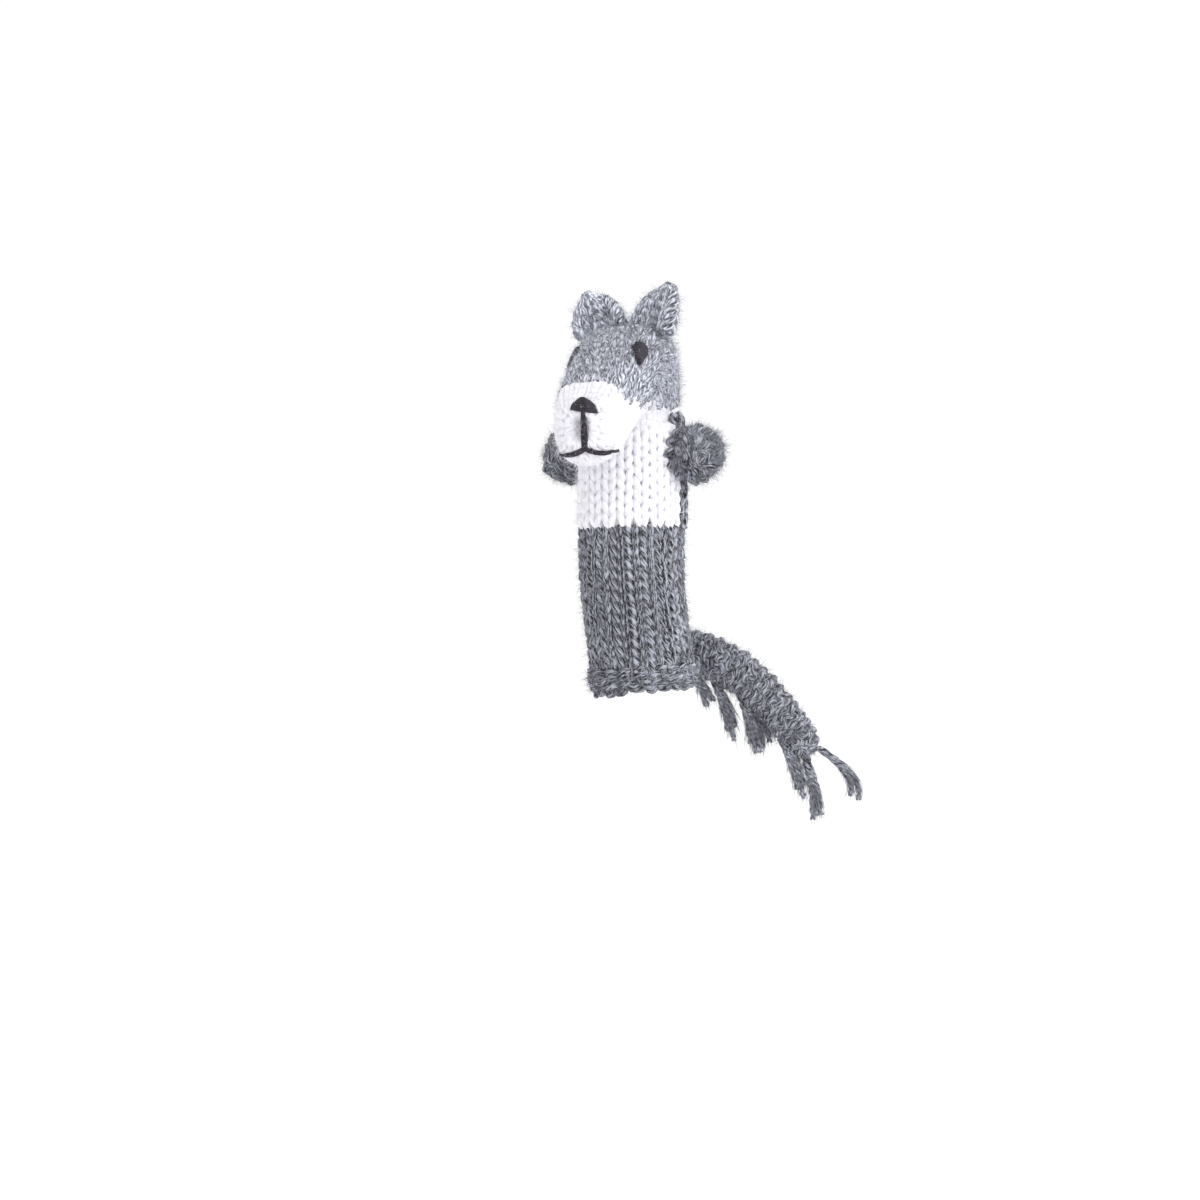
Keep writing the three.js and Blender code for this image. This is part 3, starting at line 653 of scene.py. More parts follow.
def head_stations():
    """Sections of the head from neck to nose, built on the CAD's boxes: each has its throat
    point and its crown point, as y and z, and its half width."""
    chest = -BODY_RADIUS
    base = TUBE_TOP - 0.2 * MM
    front = MUZZLE_FRONT + 1.9 * MM
    top = CROWN
    muzzle_top = TUBE_TOP + 6.8 * MM
    half = HEAD_HALF - 1.5 * MM
    back = HEAD_BACK - 1.5 * MM
    rows = [
        ((chest + 1.9 * MM, base), (back - 1.2 * MM, base + 1.9 * MM), 0.86 * half),
        ((chest + 1.0 * MM, base + 0.1 * MM), (back, base + 7.4 * MM), 0.90 * half),
        ((chest + 0.2 * MM, base - 0.1 * MM), (back, base + 14.4 * MM), 0.92 * half),
        ((chest - 0.7 * MM, base - 0.5 * MM), (back - 4.0 * MM, top - 2.3 * MM), 0.98 * half),
        ((chest - 1.7 * MM, base - 1.3 * MM), (-1.0 * MM, top), 1.0 * half),
        ((chest - 3.1 * MM, base - 2.8 * MM), (-9.5 * MM, top - 3.8 * MM), 0.96 * half),
        ((chest - 5.3 * MM, CHIN + 0.4 * MM), (front + 7.8 * MM, top - 9.3 * MM), 0.85 * half),
        ((chest - 8.0 * MM, CHIN - 2.6 * MM), (front + 2.8 * MM, muzzle_top + 3.2 * MM), 9.0 * MM),
        ((front + 1.3 * MM, CHIN - 3.1 * MM), (front + 0.4 * MM, muzzle_top), 7.7 * MM),
        ((front - 0.4 * MM, CHIN - 1.3 * MM), (front - 0.9 * MM, muzzle_top - 2.6 * MM), 5.4 * MM),
        ((front - 0.9 * MM, CHIN + 5.4 * MM), (front - 1.0 * MM, muzzle_top - 5.6 * MM), 1.0 * MM),
    ]
    throat = smooth_line([Vector((half_width, *low)) for low, _, half_width in rows])
    crown = smooth_line([Vector((half_width, *high)) for _, high, half_width in rows])
    return throat, crown


HEAD_LAST = 10  # the head's last station
HEAD_POWER = 2.6  # how square the head's sections are below
CROWN_POWER = 4.0  # and above
COLOUR_STATION = 6.7  # where grey changes to white on the bridge of the muzzle
HEAD_WHITE_BELOW = TUBE_TOP + 4.9 * MM  # the jaw and throat are white up to here
NAPE = 6.0 * MM  # and grey again behind here


def head_surface(start, end, inset=CLOTH_IN):
    """The head's skin, u round from the throat towards the left, v from neck to nose."""
    throat, crown = head_stations()

    def surface(u, v):
        angle = TURN * u
        above = max(0.0, -math.cos(angle))
        power = HEAD_POWER + (CROWN_POWER - HEAD_POWER) * min(1.0, 1.5 * above)
        reach = (abs(math.cos(angle)) ** power + abs(math.sin(angle)) ** power) ** (-1 / power)
        share = (start + (end - start) * v) / HEAD_LAST
        low, high = throat(share), crown(share)
        width = max(low.x - inset, 0.0)
        low.x = high.x = 0.0
        half = (high - low) / 2
        half -= half.normalized() * min(inset, half.length)
        return ((high + low) / 2 - half * (reach * math.cos(angle))
                + Vector((width * reach * math.sin(angle), 0, 0)))
    return surface


# ---- stage ------------------------------------------------------------------------------


class PUPPET_OT_stage(bpy.types.Operator):
    """Lay a white floor, hang soft studio lights and set the camera"""

    bl_idname = "puppet.stage"
    bl_label = "Stage"

    def execute(self, context):
        scene = context.scene
        floor()
        studio_lights(scene)
        aim_camera(scene)
        return {"FINISHED"}


def floor():
    """A wide matt white floor, well below the tail."""
    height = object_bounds()[0][2] - 6 * MM
    radius, sides = 6.0, 48
    vertices = [round_tube(radius, TURN * i / sides, height) for i in range(sides)]
    paper = mesh_object("white_floor", vertices, [tuple(range(sides))])
    material, shader = matt_material("paper_matt_white", 0.9)  # even and without a shine
    shader.inputs["Base Color"].default_value = linear(srgb("#fdfdfd"))
    paper.data.materials.append(material)
    paper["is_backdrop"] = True


def studio_lights(scene):
    """A white room with a strong key from the left and two weaker softboxes."""
    world = bpy.data.worlds.new("studio_white")
    world.use_nodes = True
    background = world.node_tree.nodes["Background"]
    background.inputs["Color"].default_value = linear(srgb("#ffffff"))
    background.inputs["Strength"].default_value = 1.03
    scene.world = world
    centre = Vector((0, 0, 40 * MM))
    for name, azimuth, height, distance, size, power in (
            ("key_softbox", 78, 0.40, 0.8, 0.45, 4.5),
            ("fill_softbox", -30, 0.25, 0.9, 0.9, 0.8),
            ("top_softbox", 20, 0.9, 0.35, 0.6, 1.4)):
        lamp = bpy.data.lights.new(name, "AREA")
        lamp.size = size
        lamp.energy = power
        holder = linked(name, lamp)
        holder.location = round_tube(distance, math.radians(azimuth), height)
        aim = (centre - holder.location).to_track_quat("-Z", "Y")
        holder.rotation_euler = aim.to_euler()


def aim_camera(scene):
    """A level camera, turned round the finger, that keeps room on both sides."""
    lens = bpy.data.cameras.new("camera")
    lens.lens = 85
    lens.sensor_width = 36
    lens.clip_end = 20
    holder = linked("camera", lens)
    azimuth = math.radians(28)
    view_width = 282 * MM
    distance = view_width * lens.lens / lens.sensor_width
    right = Vector((math.cos(azimuth), math.sin(azimuth), 0))
    ahead = Vector((-math.sin(azimuth), math.cos(azimuth), 0))
    target = right * (-7.5 * MM) + Vector((0, 0, 21.6 * MM))
    holder.location = target - ahead * distance
    holder.rotation_euler = ahead.to_track_quat("-Z", "Y").to_euler()
    scene.camera = holder
    scene.view_settings.view_transform = "Standard"


# ---- body -------------------------------------------------------------------------------


def follow_bend(piece):
    """Bakes the transform of a piece of the lower tube into its mesh."""
    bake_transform(piece)


class PUPPET_OT_lower_tube(bpy.types.Operator):
    """Knit the dark lower tube and its hem"""

    bl_idname = "puppet.lower_tube"
    bl_label = "Lower tube and hem"

    def execute(self, context):
        gauge = context.scene.puppet_gauge
        foot = HEM_TOP - 1.2 * MM
        surface = tube_surface(foot, COLOUR_CHANGE)
        rows = round((COLOUR_CHANGE - foot) / gauge.row_height)
        tube = knit("lower_tube_knit", surface, rows, gauge.body_columns,
                    "marled_wool_charcoal", seed=1)
        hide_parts("lower_tube", "waist_band")
        follow_bend(tube)
        follow_bend(lining("lower_tube_lining", surface, "wool_down_charcoal", depth=-0.4,
                           along=14))
        for name, seed in (("lower_tube_down", 2), ("lower_tube_fluff", 62)):
            follow_bend(down(name, surface, "wool_down_charcoal", seed=seed, density=0.5,
                             depth=0.6))
        hem()
        return {"FINISHED"}


def hem():
    """The garter edge: purl ridges that roll outwards."""
    gauge = bpy.context.scene.puppet_gauge
    radius = BODY_RADIUS - 1.1 * MM
    foot, band = 0.55 * MM, 3.8 * MM

    def surface(u, v):
        height = foot + band * v
        roll = 0.9 * MM * (1 - v) ** 2
        return lean(height, TURN * u) + round_tube(radius - roll, TURN * u, height)
    edge = knit("hem_knit", surface, 3, gauge.body_columns, "marled_wool_charcoal", purl=True,
                seed=3, loose=3.0, thickness=1.75 * MM)
    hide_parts("hem_band")
    back = lining("hem_lining", surface, "wool_down_charcoal", depth=-0.1, wall=1.1, along=4)
    fuzz = down("hem_down", surface, "wool_down_charcoal", along=4, seed=4, density=1.9,
                depth=0.9)
    carry((edge, back, fuzz), "charcoal_yarn", "lower_body")


class PUPPET_OT_upper_tube(bpy.types.Operator):
    """Knit the white chest, the dark back, and sew them together at the sides"""

    bl_idname = "puppet.upper_tube"
    bl_label = "Chest and back"

    def execute(self, context):
        gauge = context.scene.puppet_gauge
        surface, height = upper_surface()
        rows = round(height / gauge.row_height)
        columns = gauge.body_columns
        reach = 5.4  # columns from the middle of the chest to a side seam
        parts = (("chest", -reach, reach, "acrylic_yarn_white", "acrylic_down_white",
                  "white_yarn", 0.1, 1.35),
                 ("back", reach, columns - reach, "marled_wool_charcoal", "wool_down_charcoal",
                  "charcoal_yarn", -0.4, 1.0))
        for index, (name, first, last, finish, loose, slot, inside, share) in enumerate(parts):
            panel = knit(f"{name}_knit", surface, rows, columns, finish, first=first,
                         last=last, seed=5 + index)
            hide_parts(f"{name}_panel")
            span = {"start": first / columns, "end": last / columns}
            back = lining(f"{name}_lining", surface, loose, around=24, along=14, depth=inside,
                          **span)
            fuzz = down(f"{name}_down", surface, loose, around=24, seed=7 + index,
                        density=share, depth=0.7, **span)
            carry((panel, back, fuzz), slot, "upper_body")
        for name, side in SIDES:
            side_seam(name, side)
        gather()
        return {"FINISHED"}


def side_seam(name, side):
    """Strands of yarn overcast up the side, lying as a rope, that go behind the paw and end
    in a lump over the shoulder."""
    low, _ = box(f"side_seam_{name}")
    foot, head = low.z - 1.0 * MM, TUBE_TOP + 3.2 * MM
    seam = math.radians(97) * side
    pitch = 10 * MM

    def strand(f, k):
        height = foot + (head - foot) * f
        over = max(0.0, height - TUBE_TOP + 3.0 * MM) / (6.2 * MM)
        radius = BODY_RADIUS + (0.1 - 2.3 * over ** 2) * MM
        twist = (0.55 + 0.5 * over) * MM
        turn = TURN * (height / pitch + k / 3)
        return round_tube(radius + twist * math.cos(turn),
                          seam + 1.4 * twist * math.sin(turn) / radius, height)
    rope = yarn(f"side_seam_{name}_rope", [trace(60, strand, k) for k in range(3)],
                "marled_wool_charcoal", closed=False, thickness=1.35 * MM,
                girth=lambda f: 1 + 0.45 * max(0.0, f - 0.75) / 0.25)
    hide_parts(f"side_seam_{name}")
    carry([rope], "charcoal_yarn", "upper_body")


def gather():
    """The tube's top drawn together: short spokes of yarn that meet in the middle."""
    _, high = box("crown_gather")
    spokes = 20

    def spoke(f, k):
        lift = 0.7 * MM * math.sin(math.pi * f)
        return round_tube((8.6 - 7.2 * f) * MM, TURN * k / spokes, TUBE_TOP - 1.1 * MM + lift)

    def surface(u, v):
        return round_tube(high.x * (1 - v) + 0.2 * MM, TURN * u, high.z - 1.0 * MM)
    ends = yarn("crown_gather_yarn", [trace(6, spoke, k) for k in range(spokes)],
                "acrylic_yarn_white", closed=False)
    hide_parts("crown_gather")
    back = lining("crown_gather_lining", surface, "acrylic_down_white", along=5, depth=0.0)
    carry((ends, back), "white_yarn", "upper_body")


# ---- head -------------------------------------------------------------------------------


def head_is_white(surface, start, end, u, v):
    """Whether the stitch there is white: the muzzle, and all along the jaw."""
    station = start + (end - start) * v
    spot = surface(u, v)
    return (spot.z < HEAD_WHITE_BELOW and spot.y < NAPE
            or station > COLOUR_STATION + 0.45 * abs(math.sin(TURN * u)))


def runs_of(row, rows, columns, is_white):
    """A row's stitches grouped by colour, as (white, first column, last column)."""
    colours = [is_white((c + 0.5) / columns, (row + 0.5) / rows) for c in range(columns)]
    if len(set(colours)) == 1:
        return [(colours[0], 0, columns)]
    offset = next(c for c in range(columns) if colours[c] != colours[c - 1])
    runs, first = [], offset
    for c in range(offset + 1, offset + columns + 1):
        if c == offset + columns or colours[c % columns] != colours[first % columns]:
            runs.append((colours[first % columns], first, c))
            first = c
    return runs


class PUPPET_OT_head(bpy.types.Operator):
    """Knit the grey head and the white muzzle over their stuffing"""

    bl_idname = "puppet.head"
    bl_label = "Head and muzzle"

    def execute(self, context):
        gauge = context.scene.puppet_gauge
        start, end = 0.15, HEAD_LAST - 0.65
        rows = gauge.head_rows
        surface = head_surface(start, end)
        closed = head_surface(start, HEAD_LAST)

        def is_white(u, v):
            return head_is_white(surface, start, end, u, v)
        paths = {True: [], False: []}
        for row in range(rows):
            columns = gauge.head_columns if row < rows - 2 else gauge.head_columns // 2
            for white, first, last in runs_of(row, rows, columns, is_white):
                paths[white].append(knit_row(surface, row, rows, columns, first, last, seed=11))
        parts = (("head", False, "marled_wool_silver", "wool_down_silver", "silver_yarn",
                  "head_shell", 0.9),
                 ("muzzle", True, "acrylic_yarn_white", "acrylic_down_white", "white_yarn",
                  "muzzle_shell", 0.6))
        for index, (name, white, finish, loose, slot, node, share) in enumerate(parts):
            skin = yarn(f"{name}_knit", paths[white], finish, closed=False)
            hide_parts(node)

            def mine(u, v):
                return head_is_white(closed, start, HEAD_LAST, u, v) == white
            back = lining(f"{name}_lining", closed, loose, around=64, along=60, depth=-0.1,
                          keep=mine)
            fuzz, fluff = (down(f"{name}_{layer}", closed, loose, around=64, along=60,
                                seed=seed + index, density=share, depth=1.0, keep=mine)
                           for layer, seed in (("down", 13), ("fluff", 73)))
            carry((skin, back, fuzz, fluff), slot, "head")
        stuffing()
        neck()
        return {"FINISHED"}


def stuffing():
    """The wadding keeps its CAD shape, which fills the bag, and gets its fibrous finish."""
    for node in ("head_stuffing", "muzzle_stuffing"):
        dress(node, "polyester_wadding")


def dress(node, finish):
    """Gives a CAD node's own mesh a finish."""
    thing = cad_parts[node]
    thing.data.materials.clear()
    thing.data.materials.append(finish_for(finish))


def neck():
    """Overcast stitches that sew the head down on the tube."""
    low, high = box("neck_stitches")
    radius = high.x - 1.3 * MM
    height = (low.z + high.z) / 2
    wrap_radius = 0.75 * MM

    def stitch(angle, wrap):
        return round_tube(radius + wrap_radius * math.cos(wrap), angle,
                          height + wrap_radius * math.sin(wrap))
    seam = yarn("neck_stitches_yarn", [overcast(16, stitch)], "marled_wool_charcoal",
                thickness=1.1 * MM)
    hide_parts("neck_stitches")
    carry([seam], "charcoal_yarn", "neck")


# ---- face -------------------------------------------------------------------------------


def head_skin():
    """The smooth outer face of the whole head, to lay embroidery on."""
    vertices, faces = grid_mesh(head_surface(0.0, HEAD_LAST - 0.05, inset=0.0), 64, 80)
    return BVHTree.FromPolygons(vertices, faces)


def lay_thread(skin, points, lift, view=None):
    """Drops points onto the skin, along a view or at their nearest place, and lifts each by
    the thread's own height."""
    path = []
    for point, rise in zip(points, lift):
        spot = None
        if view is not None:
            spot, normal, _, _ = skin.ray_cast(point - view * 0.05, view)
        if spot is None or view is not None and (spot - point).length > 7 * MM:
            spot, normal, _, _ = skin.find_nearest(point)
        if normal.dot(spot - point if view is None else view) > 0:
            normal = -normal
        path.append(spot + normal * rise)
    return path


def satin(skin, centre, view, up, outline, count, rise, slant=0.0):
    """Satin stitch: threads laid side by side across an outline, which gives the left and
    right ends for a height share."""
    across = up.cross(view).normalized()

    def thread(f, share):
        left, right, height = outline(share)
        return (centre + across * (left + (right - left) * f)
                + up * (height + slant * (f - 0.5)))

    def arched(f):
        return rise * (0.5 + 0.5 * math.sin(math.pi * min(max(f, 0.08), 0.92)))
    return [lay_thread(skin, trace(8, thread, (k + 0.5) / count), trace(8, arched), view)
            for k in range(count)]


class PUPPET_OT_face(bpy.types.Operator):
    """Embroider the eyes, nose and mouth in black wool"""

    bl_idname = "puppet.face"
    bl_label = "Face"

    def execute(self, context):
        skin = head_skin()
        for name, side in SIDES:
            embroider_eye(skin, name, side)
        embroider_nose(skin)
        embroider_mouth(skin)
        return {"FINISHED"}


def sewn(name, paths, node, thickness):
    """Embroidery threads, each drawn thin where it enters the cloth."""
    def pointed(f):
        return 0.55 + 0.45 * math.sin(math.pi * min(max(f, 0.06), 0.94)) ** 0.5
    piece = yarn(name, paths, "embroidery_wool_black", thickness=thickness, closed=False,
                 girth=pointed)
    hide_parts(node)
    carry([piece], "black_thread", "head")


def embroider_eye(skin, name, side):
    """A slanted eye, pointed at its lower inner end; the far one is drawn in tighter."""
    low, high = box(f"eye_{name}")
    wide, rise, shift = (1.55, 1.25, -0.3) if side > 0 else (0.85, 0.5, 0.5)
    centre = (low + high) / 2 + Vector((shift, 0, -1.0)) * MM
    out = Vector((side * 0.52, -0.62, 0.58)).normalized()
    slope = Vector((side * 0.05, -0.70, -0.72))
    up = -(slope - out * slope.dot(out)).normalized()
    half_high = 2.7 * MM

    def outline(share):
        blunt = 1 - 0.12 * max(0.0, share - 0.7) / 0.3
        width = wide * MM * min(1.0, 0.14 + 1.35 * share) * blunt
        aside = -side * 0.75 * MM * (1 - share) ** 1.5
        return aside - width, aside + width, half_high * (2 * share - 1)
    paths = satin(skin, centre, -out, up, outline, 8, rise * MM, slant=0.7 * MM * side)
    sewn(f"eye_{name}_satin", paths, f"eye_{name}", 0.95 * MM)


def embroider_nose(skin):
    """A wide nose over the muzzle's end, its threads' ends drawn down."""
    low, high = box("nose")
    centre = (low + high) / 2 + Vector((0.9, 0, -1.3)) * MM
    half_wide = 3.4 * MM

    def outline(share):
        width = half_wide * (1 - 0.42 * share ** 2)
        return -width, width, (-1.4 + 2.3 * share) * MM
    view = Vector((0, 0.93, -0.36)).normalized()
    up = Vector((0, 0.36, 0.93)).normalized()
    paths = satin(skin, centre, view, up, outline, 6, 1.9 * MM, slant=0.9 * MM)
    for k, path in enumerate(paths):
        for i, point in enumerate(path):
            point.z -= 0.13 * MM * k * (2 * i / (len(path) - 1) - 1) ** 2
    sewn("nose_satin", paths, "nose", 1.0 * MM)


def embroider_mouth(skin):
    """Two strands down from the nose, and two along each lip."""
    top = box("nose")[0].z - 0.6 * MM
    meet = CHIN + 0.2 * MM
    ahead = MUZZLE_FRONT - 1.5 * MM
    middle = 0.8 * MM
    steps = 12

    def upright(f, side):
        spread = (0.20 + 0.25 * f) * MM
        return Vector((middle + side * spread + 0.2 * MM * f, ahead, top + (meet - top) * f))

    def lip(f, reach, rise, share):
        f *= share
        dip = 1.3 * MM * math.sin(0.8 * math.pi * f)
        return Vector((middle + 0.2 * MM + reach * f, ahead + 3.4 * MM * f * f,
                       meet - dip + rise * (1 - 0.7 * f)))
    strands = []
    for side in (-1, 1):
        line = trace(steps, upright, side)
        laid_line = lay_thread(skin, line, [1.5 * MM] * len(line), Vector((0, 1, 0)))
        strands.append([Vector((a.x, b.y, b.z)) for a, b in zip(line, laid_line)])
    sewn("philtrum_stitch", strands, "philtrum", 1.0 * MM)
    lift = trace(steps, lambda f: (1.5 - 0.3 * f) * MM)
    for name, reach in (("left", 8.2 * MM), ("right", -6.8 * MM)):
        strands = [lay_thread(skin, trace(steps, lip, reach, rise, share), lift)
                   for rise, share in ((0.3 * MM, 1.0), (-0.35 * MM, 0.8))]
        sewn(f"lip_{name}_stitch", strands, f"lip_{name}", 0.95 * MM)


# ---- ears -------------------------------------------------------------------------------


class PUPPET_OT_ears(bpy.types.Operator):
    """Knit two thick triangular ears on the crown"""

    bl_idname = "puppet.ears"
    bl_label = "Ears"

    def execute(self, context):
        gauge = context.scene.puppet_gauge
        for name, side in SIDES:
            surface = ear_surface(side)
            # the ears wear the lighter silver wool, which is painted light
            ear = knit(f"ear_{name}_knit", surface, gauge.ear_rows, gauge.ear_columns,
                       "marled_wool_pale", seed=21 + side, thickness=1.75 * MM)
            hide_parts(f"ear_{name}")
            back = lining(f"ear_{name}_lining", surface, "wool_down_silver", around=28, along=12,
                          depth=-0.25, wall=0.4)
            fuzz = down(f"ear_{name}_down", surface, "wool_down_silver", around=28, along=12,
                        seed=24 + side, density=2.0, depth=0.9)
            rim = ear_rim(name, side, surface)
            carry((ear, back, fuzz, rim), "silver_yarn", f"{name}_ear")
        return {"FINISHED"}


def ear_rim(name, side, surface):
    """The rolled edge of an ear: the outer edge on the left ear, the folded inner edge on
    the right one."""
    edge = 0.19
    low, high = (0.05, 0.85) if side > 0 else (0.0, 0.66)

    def strand(f, k):
        turn = TURN * (f * 2.0 + k / 3)
        return laid(surface, edge + 0.035 * math.sin(turn), low + (high - low) * f,
                    (1.75 + 0.5 * math.cos(turn)) * MM)
    return yarn(f"ear_{name}_rim", [trace(30, strand, k) for k in range(3)],
                "marled_wool_silver", closed=False, thickness=1.25 * MM,
                girth=lambda f: 0.6 + 0.4 * math.sin(math.pi * f))


def ear_surface(side):
    """A flat bag: an oval section that narrows from the sewn base to the rounded tip."""
    low, high = box("ear_left")
    base_in = Vector((low.x + 0.1 * MM, -0.6 * MM, CROWN - 0.1 * MM))
    base_out = Vector((high.x - 2.7 * MM, -2.8 * MM, CROWN - 2.9 * MM))
    droop = 0.0 if side > 0 else 0.9 * MM
    tip = Vector((high.x - 3.6 * MM, -1.6 * MM, high.z - 1.6 * MM - droop))
    thick = 1.25 * MM
    direction = (base_out - base_in).normalized()

    def surface(u, v):
        share = max(v, 0.0)
        swell = MM * math.sin(math.pi * share)
        inner = base_in.lerp(tip, share) + Vector((-0.8, 0, 0.9)) * swell * 1.7
        outer = base_out.lerp(tip, share) + Vector((1.0, 0, 0.0)) * swell * 1.2
        shrink = math.sqrt(max(0.0, 1 - share ** 4.2))
        width = max((outer - inner).length / 2, 2.1 * MM * shrink)
        depth = thick * (0.35 + 0.65 * shrink) * shrink
        angle = TURN * u * side
        cup = 1.1 * MM * math.sin(angle) ** 2 * (1 - share)
        point = ((inner + outer) / 2
                 + direction * width * math.sin(angle) * (0.25 + 0.75 * shrink)
                 + Vector((0, -1, 0)) * (depth * math.cos(angle) + cup))
        return Vector((point.x * side, point.y, point.z))
    return surface


# ---- paws -------------------------------------------------------------------------------


class PUPPET_OT_paws(bpy.types.Operator):
    """Knit the stuffed paws inside out, with their purl bumps showing, and sew them on"""

    bl_idname = "puppet.paws"
    bl_label = "Paws"

    def execute(self, context):
        gauge = context.scene.puppet_gauge
        for name, side in SIDES:
            surface = paw_surface(name, side)
            paw = knit(f"arm_{name}_knit", surface, gauge.arm_rows, gauge.arm_columns,
                       "marled_wool_charcoal", purl=True, seed=31 + side, loose=3.2,
                       thickness=2.1 * MM)
            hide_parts(f"arm_{name}_shell")
            back = lining(f"arm_{name}_lining", surface, "wool_down_charcoal", around=28,
                          along=14, depth=-0.3, wall=0.7)
            fuzz = down(f"arm_{name}_down", surface, "wool_down_charcoal", around=28, along=14,
                        seed=34 + side, density=1.7, depth=1.0)
            dress(f"arm_{name}_stuffing", "polyester_wadding")
            carry((paw, back, fuzz), "charcoal_yarn", f"{name}_arm")
            paw_seam(name, side)
        return {"FINISHED"}


def paw_axis(name, side):
    """A paw's way out, the way across it, its height, and how tall its CAD solid is."""
    low, high = box(f"arm_{name}_shell")
    out = round_tube(1.0, math.radians(92) * side, 0.0)
    return out, UP.cross(out), ((low + high) / 2).z, high.z - low.z


def paw_surface(name, side):
    """A stubby lumpy bag that closes at its end."""
    out, aside, height, tall = paw_axis(name, side)
    start = BODY_RADIUS + 0.6 * MM
    reach = 9.3 * MM
    radius = tall / 2 - 1.4 * MM
    fattest, half_length = 0.42, 0.585

    def surface(u, v):
        bulge = math.sqrt(max(0.0, 1 - ((v - fattest) / half_length) ** 2))
        angle = TURN * u
        centre = out * (start + reach * v * 0.93) + UP * height
        around = UP * math.cos(angle) - aside * math.sin(angle)
        spot = (around * bulge + out * (1.6 * v)) * 1.5 + Vector((side * 3.3, 0, 0))
        lump = 1 + 0.24 * noise.noise(spot)
        return centre + around * (radius * bulge * lump)
    return surface


def paw_seam(name, side):
    """Whip stitches round the paw where it is sewn to the body."""
    out, aside, height, tall = paw_axis(name, side)
    ring = tall * 0.39

    def stitch(angle, wrap):
        radius = ring + 0.7 * MM * math.cos(wrap)
        spread = aside * math.sin(angle) * radius
        sink = BODY_RADIUS - math.sqrt(max(0.0, BODY_RADIUS ** 2 - spread.length_squared))
        return (out * (BODY_RADIUS + 0.55 * MM - sink + 0.6 * MM * math.sin(wrap)) + spread
                + UP * (height + math.cos(angle) * radius))
    seam = yarn(f"arm_{name}_whip_stitch", [overcast(12, stitch)], "marled_wool_charcoal",
                thickness=1.6 * MM)
    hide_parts(f"arm_{name}_seam")
    carry([seam], "charcoal_yarn", "upper_body")


# ---- tail -------------------------------------------------------------------------------

TAIL_ROOT = (box("tail_root_knot")[0] + box("tail_root_knot")[1]) / 2
TAIL_STEPS = [  # the middle line's way from its root, in millimetres
    (0, 0, 0), (5.2, 1.2, -0.6), (10.4, 3.1, -2.2), (15.0, 5.5, -4.6),
    (19.6, 7.9, -8.6), (23.8, 10.1, -13.6), (27.6, 12.1, -18.8), (30.0, 13.7, -22.6),
]
TAIL_PARTS = (("tail_base", 0.05, 0.39), ("tail_middle", 0.39, 0.71), ("tail_end", 0.71, 0.95))
TAIL_BEND = 0.055  # a share of the tail's length to each side of a joint


def tail_line():
    """The tail's middle line as a share of its length, and that length."""
    curve = smooth_line([TAIL_ROOT + Vector(step) * MM for step in TAIL_STEPS])
    count = 200
    points = trace(count, curve)
    lengths = [0.0]
    for a, b in zip(points, points[1:]):
        lengths.append(lengths[-1] + (b - a).length)

    def at(share):
        wanted = min(max(share, 0.0), 1.0) * lengths[-1]
        index = next((i for i in range(1, count + 1) if lengths[i] >= wanted), count)
        span = lengths[index] - lengths[index - 1]
        return points[index - 1].lerp(points[index], (wanted - lengths[index - 1]) / span)
    return at, lengths[-1]


def tail_surface(start, end):
    """A stretch of the tail, u round from below, v along it, and its length."""
    at, length = tail_line()

    def surface(u, v):
        share = start + (end - start) * v
        ahead = (at(share + 0.01) - at(share - 0.01)).normalized()
        across = UP.cross(ahead).normalized()
        lump = 1 + 0.05 * math.cos(TURN * share * length / (4.3 * MM))
        radius = (4.0 - 0.95 * share) * MM * lump
        angle = TURN * u
        return at(share) + (across * math.sin(angle)
                            - ahead.cross(across) * math.cos(angle)) * radius
    return surface, length * (end - start)


def tail_ride(piece, index):
    """The base rides on its body; the others have their transform baked into their mesh."""
    name, joint, _ = TAIL_PARTS[index]
    if index == 0:
        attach(piece, name)
        return
    at, _ = tail_line()
    tuple(at(joint - TAIL_BEND))
    tuple(at(joint + TAIL_BEND))
    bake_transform(piece)


class PUPPET_OT_tail(bpy.types.Operator):
    """Knit the bumpy tail and knot its end"""

    bl_idname = "puppet.tail"
    bl_label = "Tail"

    def execute(self, context):
        gauge = context.scene.puppet_gauge
        for index, (name, start, end) in enumerate(TAIL_PARTS):
            surface, length = tail_surface(start, end)
            rows = round(length / gauge.row_height)
            tail = knit(f"{name}_knit", surface, rows, gauge.tail_columns,
                        "marled_wool_charcoal", purl=True, seed=41 + index)
            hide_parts(name)
            back = lining(f"{name}_lining", surface, "wool_down_charcoal", around=20, along=10,
                          depth=-0.5, wall=1.2)
            fuzz = down(f"{name}_down", surface, "wool_down_charcoal", around=20, along=10,
                        seed=44 + index, density=1.5)
            shag = down(f"{name}_shag", surface, "wool_down_charcoal", around=12, along=10,
                        seed=54 + index, density=0.55, length=2.0, start=-0.3, end=0.3)
            for piece in (tail, back, fuzz, shag):
                tail_ride(piece, index)
        knotted_ball("tail_root_knot", "tail_root", 47)
        knotted_ball("tail_knot", "tail_end", 48)
        return {"FINISHED"}


